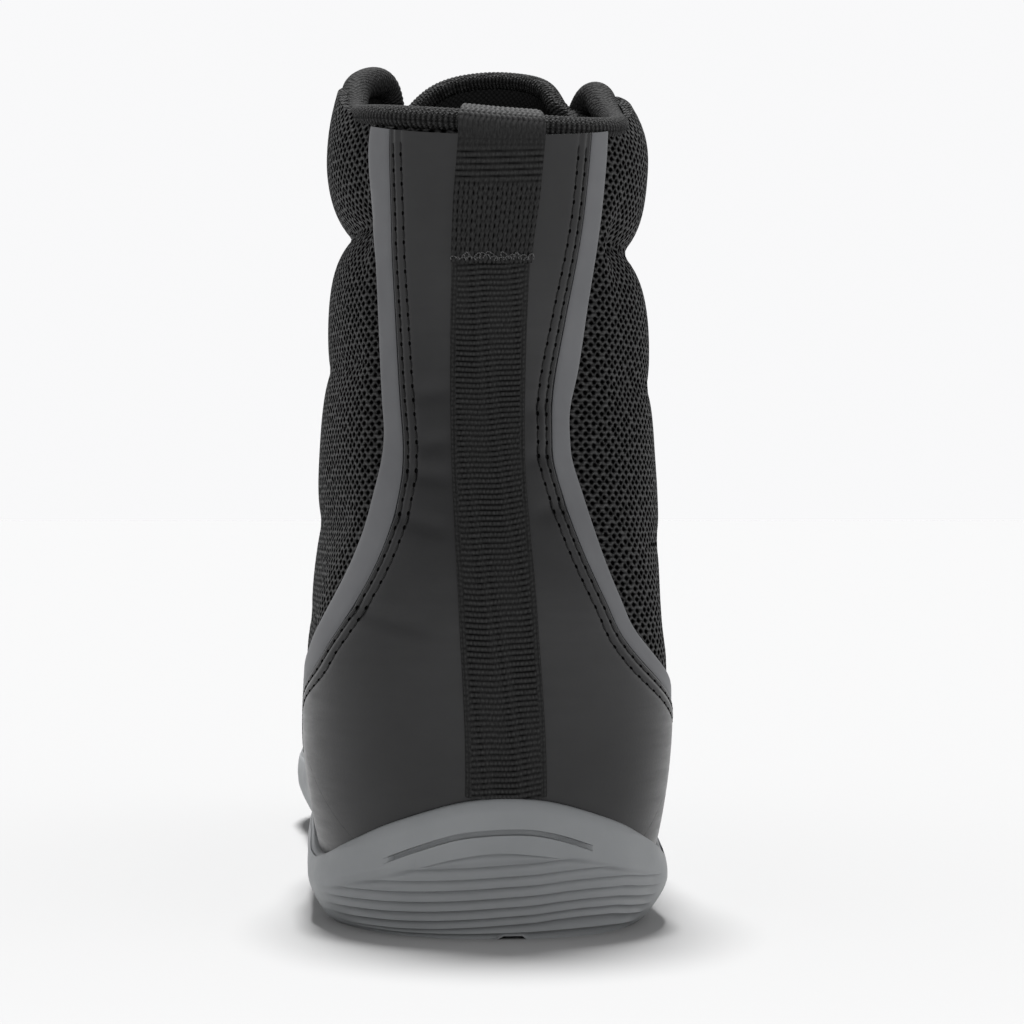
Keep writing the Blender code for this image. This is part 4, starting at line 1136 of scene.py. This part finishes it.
def ridge(x, pitch):
    """Round ribs at a pitch, 0 in the groove and 1 on the crest."""
    return np.abs(np.sin(np.pi * x / pitch)) ** 0.8


def soft_edge(cols):
    """Thickness of a woven band across it, thinner at its edges."""
    inside = 1 - np.abs(np.linspace(-1, 1, cols))
    return 0.5 + 0.5 * np.clip(inside / 0.06, 0, 1) ** 0.5


def heel_webbing():
    """Ribbed webbing strip sewn up the centre of the heel panel."""
    rows, places = back_rows(BACK_LIP - 0.03, TOP - 0.12, WEB_RIB / 4)
    places = places[:, None]
    grid, s = across(rows, PANEL_TOP, smooth(WEB_HALF, 1, back_height(rows)), WEB_COLS)
    v = places - WEB_SLANT * s + 0.1 * np.sin(0.8 * s + 0.11 * places)
    stagger = s + 0.5 * WEB_GRAIN * (np.floor(v / WEB_RIB) % 2)
    rib = ridge(v, WEB_RIB) * (0.6 + 0.4 * ridge(stagger, WEB_GRAIN))
    selvedge = step(0.83, 0.86, np.abs(np.linspace(-1, 1, WEB_COLS)))
    rib = rib * (1 - selvedge) + selvedge * (0.35 + 0.5 * ridge(v + 0.5, WEB_RIB * 0.9) * ridge(s, 0.65))
    top = (GAP + WEB_THICK) * soft_edge(WEB_COLS) + WEB_RELIEF * (rib - 0.7)
    verts, shell = sheet(grid, 0.0, top)
    # The weave's relief goes into the flat places, where it paints shade in the hollows and highlight on the
    # ribs.
    build("heel_webbing_strip", verts, shell, (WEB,), "webbing", "heel_webbing", flat_of(s, places, rib / 4))


COLLAR_FOOT, COLLAR_HEAD = section_ends(TOP)
COLLAR_UP = unit(np.array([0.0, COLLAR_FOOT[1] - COLLAR_HEAD[1], COLLAR_HEAD[0] - COLLAR_FOOT[0]]))


def roll_centre(side, f):
    """Centre of the collar roll by share round the rim, set in behind the padded sides."""
    f = np.asarray(f, float)
    rim = skin(side, TOP, f, -WALL / 2 - ROLL_INSET[side] * within(INSET_ENDS, f))
    above = (rim[..., 1] - COLLAR_FOOT[0]) * COLLAR_UP[1] + (rim[..., 2] - COLLAR_FOOT[1]) * COLLAR_UP[2]
    level = ROLL_R - 0.2 + smooth(ROLL_LIFT, 1 + side, f)
    return rim + COLLAR_UP * (level - above)[..., None]


def loop_weave(s, v):
    """Relief of the pull loop by place across and up: slits, ribs, plain grid, then the stitched fold."""
    phase = v / SLIT_LONG + 0.5 * (np.floor(s / LOOP_GRAIN) % 2)
    slit = (1 - ridge(s, LOOP_GRAIN)) * (0.5 + 0.5 * np.cos(2 * np.pi * phase))
    grains = 0.9 - 1.2 * slit - 0.2 * (1 - ridge(v, SLIT_LONG / 2))
    ribs = ridge(v - LOOP_SLANT * s, LOOP_RIB) * (0.75 + 0.25 * ridge(s, LOOP_GRAIN))
    plain = 0.5 + 0.3 * ridge(s, PLAIN_CELL[0]) * ridge(v, PLAIN_CELL[1])
    zigzag = np.abs((v / ZIGZAG) % 1.0 - 0.5)
    stitches = ridge(s + zigzag, 1.0) * (0.55 + 0.45 * ridge(v, ZIGZAG / 2))
    up = [step(lo - ZONE_SOFT, lo + ZONE_SOFT, v) for lo in LOOP_ZONES]
    return grains * (1 - up[0]) + ribs * (up[0] - up[1]) + plain * (up[1] - up[2]) + stitches * up[2]


def loop_fold(s, out):
    """Rows of the pull loop where it turns over the collar roll."""
    turns = np.radians(np.linspace(4, 180, FOLD_ROWS))[:, None, None]
    high = ROLL_R + LOOP_THICK / 2 + 0.1
    sides = []
    for side in BOTH:
        f = np.abs(s) / row_length(side, TOP)
        reach = skin_normal(side, TOP, f) * (out + WALL / 2)
        sides.append(roll_centre(side, f) + reach * np.cos(turns) + COLLAR_UP * high * np.sin(turns))
    return by_side(s, sides)


def pull_loop():
    """Second webbing layer, folded over the collar roll to the inside."""
    out = WEB_TOP + LOOP_THICK / 2
    s = np.linspace(-LOOP_HALF, LOOP_HALF, LOOP_COLS)
    rows, _ = back_rows(back_row(LOOP_LOW), TOP - 0.05, LOOP_PITCH)
    taper = LOOP_TAPER * step(LOOP_LOW + 16, LOOP_LOW, back_height(rows))
    outside, _ = across(rows, out, LOOP_HALF - taper, LOOP_COLS)
    low_rows = np.linspace(TOP - 0.1, TOP - 0.6, INNER_ROWS)
    inside, _ = across(low_rows, -out - WALL, np.full(INNER_ROWS, LOOP_HALF * 0.97), LOOP_COLS)
    grid = np.concatenate([outside, loop_fold(s, out), inside])
    places = run_length(grid[:, LOOP_COLS // 2])[:, None]
    weave = loop_weave(s, places)
    half = np.broadcast_to(LOOP_THICK / 2 * soft_edge(LOOP_COLS), weave.shape)
    # Above the last zone the full relief drives the colour: stronger painted highlight on the fold's crests
    # and painted shade in its hollows.
    fold_highlight = step(LOOP_ZONES[2] - 1.0, LOOP_ZONES[2] + 2.2, places)
    flat = flat_of(s, places, weave * (0.25 + 0.75 * fold_highlight))
    verts, shell = sheet(grid, -half, half + LOOP_RELIEF * (weave - 0.6))
    build("pull_loop_webbing", verts, shell, (LOOP,), "webbing", "pull_loop", flat)


def spline(points, steps):
    """Smooth curve led by a row of control points."""
    points = np.concatenate([2 * points[:1] - points[1:2], points, 2 * points[-1:] - points[-2:-1]])
    u = (np.arange(steps) / steps)[None, :, None]
    a, b, c, d = (points[k:len(points) - 3 + k, None] for k in range(4))
    curve = a * (1 - u) ** 3 + b * (3 * u ** 3 - 6 * u ** 2 + 4)
    curve = curve + c * (1 + 3 * u + 3 * u ** 2 - 3 * u ** 3) + d * u ** 3
    return curve.reshape(-1, points.shape[1]) / 6


def collar_half(side):
    """Control points of the collar roll from the back seam to its end on the throat edge, with radii."""
    limit = throat_share(side, TOP)
    shares = limit * np.linspace(0, 0.94, 11)
    rows = list(np.column_stack([roll_centre(side, shares), ROLL_R + step(0.5, 0.95, shares / limit)]))
    for down, reach, radius in COLLAR_EAR:
        t = TOP - down
        f = throat_share(side, t)
        edge = skin(side, t, f, -WALL / 2)
        ahead = unit(skin(side, t, f + 0.01, -WALL / 2) - edge)
        seat = roll_centre(side, f) if down == 0 else edge
        rows.append(np.append(seat + ahead * reach, radius))
    return np.array(rows)


def roll(line, up, pitch, slant, cad_node):
    """Knitted roll with slanted ribs round it and rounded ends."""
    path = line[:, :3]
    radius = line[:, 3]
    places = run_length(path)
    turn = 2 * np.pi * np.arange(ROLL_SIDES) / ROLL_SIDES
    rib = 0.5 + 0.5 * np.cos(2 * np.pi * (places[:, None] / pitch + slant * np.cos(turn)))
    cap = round_end(np.minimum(places, places[-1] - places) / (radius * 1.2), 2.0)
    thick = (radius * np.maximum(cap, 0.12))[:, None] + KNIT_RELIEF * (rib - 0.5)
    up = np.broadcast_to(up, path.shape)
    verts, faces = cords(path[None], up[None], thick[None], thick[None], ROLL_SIDES)
    # The rib height goes into the flat places, from which the knit paints shade between the ribs and
    # highlight on them.
    flat = flat_of(places[:, None], turn * radius.mean(), rib)
    flat = np.concatenate([flat, flat[:1], flat[-1:]])
    build(cad_node + "_knit", verts, faces, (KNIT,), "knit_binding", cad_node, flat)


def collar_binding():
    """Knitted roll on the collar rim, turned down along the throat edge at both front corners."""
    line = spline(np.concatenate([collar_half(MEDIAL)[:0:-1], collar_half(LATERAL)]), 34)
    ahead = np.gradient(line[:, :3], axis=0)
    up = np.cross(ahead, np.cross(COLLAR_UP, ahead) + np.array([0.0, 0.0, 1e-6]))
    roll(line, up, 1.15, 0.5, "collar_binding")


def tongue_point(share, k, off):
    """Points of the tongue by share across and share along, below its outer face by off."""
    share, k = np.broadcast_arrays(share, k)
    head = TONGUE_HIGH + TONGUE_ARCH * (1 - np.abs(share) ** 3)
    z = TONGUE_LOW + (head - TONGUE_LOW) * k
    t = head_row(z)
    depth = WALL + TONGUE_GAP + step(*TONGUE_SINK, z)
    away = share * smooth(TONGUE_HALF, 1, z) + TONGUE_SHIFT * step(*TONGUE_TURN, z)
    shares = [1 - np.abs(away) / row_length(side, t) for side in BOTH]
    return by_side(away, [skin(side, t, shares[side], off - depth) for side in BOTH])


def tongue():
    """Padded tongue under the throat."""
    share = np.linspace(-1, 1, TONGUE_COLS)
    k = np.linspace(0, 1, TONGUE_ROWS)[:, None]
    pad = TONGUE_THICK * (0.45 + 0.55 * (1 - np.abs(share) ** 4))
    outer = tongue_point(share, k, 0.0).reshape(-1, 3)
    ahead = tongue_point(share, k, -pad).reshape(-1, 3) - outer
    faces = facing(outer, -ahead, grid_quads(TONGUE_ROWS, TONGUE_COLS))
    verts, shell = thicken(outer, ahead, faces, 1.0, 0.0)
    flat = flat_of(share * TONGUE_FLAT[0], k * TONGUE_FLAT[1])
    piece = build("tongue_pad", verts, shell, (TONGUE_CLOTH,), "tongue_mesh", "tongue", flat)


def tongue_binding():
    """Bound roll on the arched top edge of the tongue."""
    share = np.linspace(-1, 1, 420)
    low, high = (tongue_point(share, k, -TONGUE_THICK / 2) for k in (0.985, 1.0))
    edge = unit(np.gradient(high, axis=0))
    up = high - low
    up = unit(up - edge * np.sum(up * edge, axis=1, keepdims=True))
    line = np.column_stack([high + up * (TONGUE_ROLL_R - 0.3), np.full(len(high), TONGUE_ROLL_R)])
    roll(line, up, 0.95, 0.8, "tongue_binding")


def stay_share(side, t, inset):
    """Share along a half section at a distance behind the throat edge."""
    return throat_share(side, t) - inset / row_length(side, t)


def stay_width(t):
    """Width of the facing: broad and rounded in front of the throat, narrow at the collar."""
    wide = STAY_WIDE + (STAY_NARROW - STAY_WIDE) * float(step(SHAFT_ROW - 4, SHAFT_ROW + 4, t))
    wide += STAY_CLOSED * float(step(*STAY_JOIN, t))
    return wide * float(round_end((t - STAY_FRONT) / STAY_ROUND, 2.0))


def stay_columns(side, t):
    """Shares of the facing's columns, from its outer edge to the throat."""
    lo = stay_share(side, t, stay_width(t))
    hi = stay_share(side, t, STAY_EDGE * float(step(*STAY_OPEN, t)))
    return lo + (hi - lo) * STAY_CUTS


def eyestay():
    """Leather facing round the throat, with its lace holes."""
    holes = [(head_row(z - HOLE_HALF * 0.8), head_row(z + HOLE_HALF * 0.8)) for z in EYELET_Z]
    marks = [STAY_FRONT + 0.01, *STAY_ROWS] + [t for pair in holes for t in pair] + [TOP - 0.5]
    rows = np.concatenate([np.linspace(a, b, 6)[:-1] for a, b in zip(marks[:-1], marks[1:])] + [marks[-1:]])
    points, normals, _, faces, column = patch(rows, stay_columns)
    punched = np.zeros(len(faces), bool)
    spot = points[faces].mean(axis=1)
    for side in BOTH:
        for z in EYELET_Z:
            middle = eyelet_centre(side, z)[0]
            punched |= np.linalg.norm(spot - middle, axis=1) < HOLE_HALF
    edge = np.minimum(STAY_CUTS, 1 - STAY_CUTS)[column]
    top = STAY_LIFT + STAY_THICK * (0.6 + 0.4 * np.clip(edge / 0.05, 0, 1) ** 0.5)
    verts, shell = thicken(points, normals, faces[~punched], STAY_LIFT, top)
    build("eyestay_leather", verts, shell, (LEATHER,), "panel_leather", "eyestay")


def eyelet_centre(side, z):
    """Middle and normal of a lace hole on the skin."""
    t = head_row(z)
    f = stay_share(side, t, LACE_INSET)
    return skin(side, t, f), skin_normal(side, t, f)


def eyelets():
    """Rolled eyelet rings in the lace holes."""
    turn = np.linspace(0, 2 * np.pi, 25)
    made = []
    for side in BOTH:
        for z in EYELET_Z:
            middle, n = eyelet_centre(side, z)
            u = unit(np.cross(n, [0.0, 0.3, 1.0]))
            v = np.cross(n, u)
            base = middle + n * (STAY_LIFT + STAY_THICK + 0.1)
            ring = base + RING_R * (u * np.cos(turn)[:, None] + v * np.sin(turn)[:, None])
            made.append(cords(ring[None], np.broadcast_to(n, ring.shape)[None], RING_WIDE, RING_HIGH, 10))
    build("eyelet_rings", *join(made), (ENAMEL,), "panel_leather")


def strand(low, high, sign, over, dive):
    """Path and normals of one crossing, from a hole over the tongue and under the other edge."""
    share = np.linspace(-1, 1, 40)
    s = share * sign
    t = head_row(low + (high - low) * (share + 1) / 2)
    drop = step(-0.9, -1.0, share) * LACE_START + step(dive, 0.98, share) * LACE_END
    off = STAY_LIFT + STAY_THICK + GAP + LACE_R * 0.6 + over * bell(share, 0.35) - drop
    points = []
    normals = []
    for side in BOTH:
        stay = np.array([stay_share(side, row, LACE_INSET) for row in t])
        f = 1 - np.abs(s) * (1 - stay)
        points.append(skin(side, t, f, off))
        normals.append(skin_normal(side, t, f))
    return by_side(s, points), by_side(s, normals)


def lace():
    """Lace that rises through each hole, crosses the tongue and goes under the other edge to the next."""
    strands = [strand(EYELET_Z[0], EYELET_Z[0], 1, LACE_UNDER, BAR_DIVE)]
    levels = (LACE_UNDER, LACE_OVER)
    for k in range(len(EYELET_Z) - 1):
        strands.append(strand(*EYELET_Z[k:k + 2], 1, levels[k % 2], CROSS_DIVE))
        strands.append(strand(*EYELET_Z[k:k + 2], -1, levels[1 - k % 2], CROSS_DIVE))
    path, up = (np.array(layer) for layer in zip(*strands))
    verts, faces = cords(path, up, LACE_WIDE, LACE_HIGH, LACE_SIDES)
    run = np.array([run_length(line) for line in path])
    flat = flat_of(np.arange(LACE_SIDES) * LACE_R * 0.52, run[:, :, None]).reshape(len(path), -1, 3)
    flat = np.concatenate([flat, flat[:, :1], flat[:, -1:]], axis=1).reshape(-1, 3)
    build("lace_braid", verts, faces, (CORD,), "lace_cord", "lace", flat)


def sole_outline(ring):
    """Reference outline of the sole per side, with outward directions in plan."""
    y = SOLE_BACK + (SOLE_FRONT - SOLE_BACK) * spread(ring + 1)
    half = smooth(PLAN, 2, y) * round_end((y - SOLE_BACK) / HEEL_ROUND, HEEL_POWER)
    half = half * round_end((SOLE_FRONT - y) / SOLE_TOE_ROUND, 2.0)
    outline = []
    for side in BOTH:
        line = np.stack([smooth(PLAN, 1, y) + SIGN[side] * half, y], axis=1)
        ahead = np.gradient(line, axis=0)
        out = np.stack([ahead[:, 1], -ahead[:, 0]], axis=1) * SIGN[side]
        out[0] = (0, -1)
        out[-1] = (0, 1)
        outline.append((line, unit(out)))
    return outline


def skin_offset(start, out, z):
    """Offset from the sole outline to the skin of the upper at a height."""
    low = np.full(len(start), -30.0)
    high = np.full(len(start), 9.0)
    for _ in range(40):
        mid = (low + high) / 2
        x = start[:, 0] + out[:, 0] * mid
        y = start[:, 1] + out[:, 1] * mid
        inside = np.abs(x - centre_x(y, z)) < half_width(y, z)
        low = np.where(inside, mid, low)
        high = np.where(inside, high, mid)
    return low


def sole_side(edge, ground, high, y):
    """Offset of the sole's side by height: rolled, and bevelled under at heel and forefoot."""
    bevel = HEEL_BEVEL * step(*BEVEL_FADE, y) + FORE_BEVEL * step(*FORE_FADE, y)

    def offset(z):
        share = (z - ground) / high
        return edge + smooth(ROLL, 1, share) - bevel * np.clip(1 - share / BEVEL_TOP, 0, 1)

    return offset


def crest_lines(place, y, ground, high, arc):
    """Heights of the flute crests, from the ground edge to the upper limit of their field."""
    back = step(*BACK_FADE, y)
    lift = smooth(FLUTE_RUN, 1, place)
    notch = NOTCH_DEEP * step(*NOTCH_HALF, np.abs(place - NOTCH_X)) * step(*NOTCH_FADE, y)
    lines = [ground + notch]
    for i, level in enumerate(CRESTS):
        z = ground + (level + lift * step(0, 4, level)) * back + high * (0.07 + 0.07 * i) * (1 - back)
        lines.append(np.minimum(z, arc - 1.0 - 0.25 * (len(CRESTS) - i)))
    last = lines[-1] + 0.2
    lines.append(np.clip(smooth(FLUTE_RUN, 2, place), last, np.maximum(arc - 0.9, last)))
    return lines


def flute_rows(crests, offset, place, y):
    """Rows of the hollows between the crests."""
    deep = FLUTE_DEEP * within(FLUTE_ENDS, place) * step(*FLUTE_FADE, y)
    field = smooth(FLUTE_RUN, 2, place)
    rows = []
    for low, top in zip(crests[:-1], crests[1:]):
        for q in FLUTE_ROWS:
            z = top + (low - top) * q
            hollow = deep * np.clip((top - low) / 1.8, 0, 1) * np.sin(np.pi * q ** 0.7)
            rows.append((offset(z) - hollow * step(-0.7, 0.5, field - z), z))
    rows.append((offset(crests[-1]), crests[-1]))
    return rows


def sole_rows(line, out):
    """Offsets and heights of the sole's profile rows, from the ground edge over the lip to the cup floor."""
    place = line[:, 0]
    y = line[:, 1] + out[:, 1] * skin_offset(line, out, STATION_Z)
    lip = lip_z(y)
    room = GAP + PANEL_TOP * step(PANEL_FRONT + 12, PANEL_FRONT, y)
    wall = LIP_THIN + (LIP_WALL - LIP_THIN) * step(*WALL_FADE, y)
    edge = skin_offset(line, out, lip - 0.5) + room + wall
    ground = under_z(line[:, 1] + out[:, 1] * (edge - GROUND_INSET))
    high = lip - ground
    offset = sole_side(edge, ground, high, y)
    back = step(*BACK_FADE, y)
    arc = smooth(ARC, 1, place) * back + (ground + high * ARC_SHARE) * (1 - back)
    arc = np.minimum(arc, lip - ARC_BELOW)
    rows = flute_rows(crest_lines(place, y, ground, high, arc), offset, place, y)
    cut = ARC_DEEP * within(ARC_ENDS, place) * step(*ARC_FADE, y)
    for up, part in ARC_FORM:
        rows.append((offset(arc + up) - cut * part, arc + up))
    start = arc + ARC_FORM[-1][0]
    for share in SIDE_ROWS:
        z = start + (lip - start) * share
        rows.append((offset(z), z))
    for inward, drop in LIP_FORM:
        rows.append((edge - 0.3 - inward * wall, lip - drop))
    floor = floor_z(y)
    for share in CUP_ROWS:
        z = floor + (lip - floor) * share
        rows.append((skin_offset(line, out, z) + room - 0.25 * share, z - FLOOR_DROP * (1 - share)))
    return rows


def ring_points(line, out, rows):
    """Rows of points from offsets and heights."""
    grid = []
    for offset, z in rows:
        x = line[:, 0] + out[:, 0] * offset
        y = line[:, 1] + out[:, 1] * offset
        grid.append(np.stack([x, y, np.broadcast_to(z, x.shape)], axis=1))
    return np.array(grid)


def ring_solid(rings, caps):
    """Closed solid from matching rows of points on both sides, with a grid across each end."""
    verts = []
    faces = []
    for k, grid in enumerate([rings[LATERAL], rings[MEDIAL][:, ::-1], *caps]):
        quads = grid_quads(*grid.shape[:2]) + sum(map(len, verts))
        faces.append(quads[:, ::-1] if k == 3 else quads)
        verts.append(grid.reshape(-1, 3))
    points = np.concatenate(verts)
    first, quads = weld(points, np.concatenate(faces), WELD_SOLE)
    return points[first], quads


def bridge(a, b, count):
    """Grid of straight lines from one row of points to another."""
    k = np.linspace(0, 1, count)[None, :, None]
    return a[:, None] * (1 - k) + b[:, None] * k


def tread(grid):
    """Shallow grooves in the underside: one along the heel, waves across the forefoot."""
    inside = np.linspace(-1, 1, grid.shape[1])[None, :]
    x = grid[..., 0]
    y = grid[..., 1]
    clear = step(1.0, 0.86, np.abs(inside))
    heel = HEEL_GROOVE * step(*GROOVE_HALF, np.abs(x - NOTCH_X)) * step(*GROOVE_FADE, y)
    wave = np.cos(2 * np.pi * (y + 4 * np.cos(x / 9)) / TREAD_PITCH)
    fore = TREAD_DEEP * step(*TREAD_FORM, wave) * within(TREAD_ENDS, y) * clear
    grid[..., 2] += np.maximum(heel, fore)
    return grid


def outsole():
    """Cup sole with rolled heel, flutes, arc groove, lip and tread."""
    rings = [ring_points(line, out, sole_rows(line, out)) for line, out in sole_outline(240)]
    under = tread(bridge(rings[LATERAL][0], rings[MEDIAL][0], 121))
    under[:, 0] = rings[LATERAL][0]
    under[:, -1] = rings[MEDIAL][0]
    floor = bridge(rings[LATERAL][-1], rings[MEDIAL][-1], 9)
    verts, faces = ring_solid(rings, (under, floor))
    build("outsole_rubber", verts, faces, (RUBBER,), "sole_rubber", "outsole", sharp=35)


def insole():
    """Foam sock lying in the cup, with a rounded edge."""
    rings = []
    for line, out in sole_outline(120):
        low = floor_z(line[:, 1] + out[:, 1] * skin_offset(line, out, STATION_Z)) + GAP
        high = low + INSOLE_THICK
        offset = np.minimum(skin_offset(line, out, low), skin_offset(line, out, high)) - WALL - 1.7
        edge = [(offset - 0.4, low), (offset, low + 0.5), (offset, high - 1.0), (offset - 0.3, high - 0.3)]
        rings.append(ring_points(line, out, edge + [(offset - 1.2, high)]))
    caps = [bridge(rings[LATERAL][row], rings[MEDIAL][row], 21) for row in (0, -1)]
    verts, faces = ring_solid(rings, caps)
    piece = build("insole_sock", verts, faces, (SOCK,), "sock_foam", "insole", verts)


def loop_stitches():
    """Loose uneven thread loops across the lower end of the pull loop."""
    count = 22
    pick = np.random.default_rng(4)
    middle = np.linspace(-0.86, 0.86, count) * LOOP_HALF + pick.uniform(-0.25, 0.25, count)
    wide = pick.uniform(0.35, 0.9, count)
    high = pick.uniform(0.3, 1.5, count)
    lean = pick.uniform(-0.6, 0.6, count)
    low = LOOP_LOW + 0.5 + pick.uniform(0, 0.7, count)
    turn = np.linspace(0, np.pi, 15)
    s = middle[:, None] + wide[:, None] * np.cos(turn) + (lean * high)[:, None] * np.sin(turn)
    t = back_row(low[:, None] + high[:, None] * np.sin(turn))
    off = WEB_TOP + LOOP_THICK + 0.25 * np.sin(turn) - 0.05
    path = beside_seam(t, s, np.broadcast_to(off, s.shape))
    normal = np.broadcast_to(np.array([0.0, -1.0, 0.0]), path.shape)
    build("pull_loop_stitches", *cords(path, normal, 0.12, 0.12, 8), (PALE_THREAD,), "webbing")


def camera():
    """Camera at the photograph's viewing angle."""
    data = bpy.data.cameras.new("camera")
    data.lens = CAMERA_LENS
    data.sensor_width = CAMERA_SENSOR
    item = bpy.data.objects.new("camera", data)
    item.location = CAMERA_PLACE
    item.rotation_euler = np.radians(CAMERA_TURN)
    bpy.context.scene.collection.objects.link(item)
    bpy.context.scene.camera = item


def studio():
    """Pale floor, white surroundings and one soft key light."""
    mesh = bpy.data.meshes.new("floor")
    corners = [(x * FLOOR_REACH, y * FLOOR_REACH, 0) for x, y in ((-1, -1), (1, -1), (1, 1), (-1, 1))]
    mesh.from_pydata(corners, [], [(0, 1, 2, 3)])
    mesh.materials.append(finish("floor_paper", 1.0, 0.0, FLOOR_GREY)[0])
    floor = bpy.data.objects.new("floor", mesh)
    bpy.context.scene.collection.objects.link(floor)
    world = bpy.data.worlds.new("studio")
    world.use_nodes = True
    tree = world.node_tree
    around = node(tree, "TexCoord").outputs["Generated"]
    way = node(tree, "VectorMath", {0: around, 1: FILL_SIDE}, operation="DOT_PRODUCT")
    high = depth_of(tree, around)
    sky = ramp(tree, way.outputs["Value"], ((0.0, WORLD_GREY), (0.9, WORLD_FILL)))
    sky = blend(tree, "MULTIPLY", sky, ramp(tree, high, ((0.22, 1.0), (0.65, WORLD_HIGH))))
    tree.links.new(sky, tree.nodes["Background"].inputs["Color"])
    bpy.context.scene.world = world
    lamp = bpy.data.lights.new("key", "SUN")
    lamp.energy = KEY_POWER
    lamp.angle = np.radians(KEY_SOFT)
    item = bpy.data.objects.new("key", lamp)
    x, y, z = KEY_FROM
    item.rotation_euler = (np.arctan2(np.hypot(x, y), z), 0, np.arctan2(-y, -x) - np.pi / 2)
    bpy.context.scene.collection.objects.link(item)
    bpy.context.scene.view_settings.view_transform = "Standard"


camera()
studio()
upper()
heel_panel()
panel_stitches()
trim(LATERAL, "trim_lateral")
trim(MEDIAL, "trim_medial")
heel_webbing()
pull_loop()
loop_stitches()
collar_binding()
tongue()
tongue_binding()
eyestay()
eyelets()
lace()
outsole()
insole()
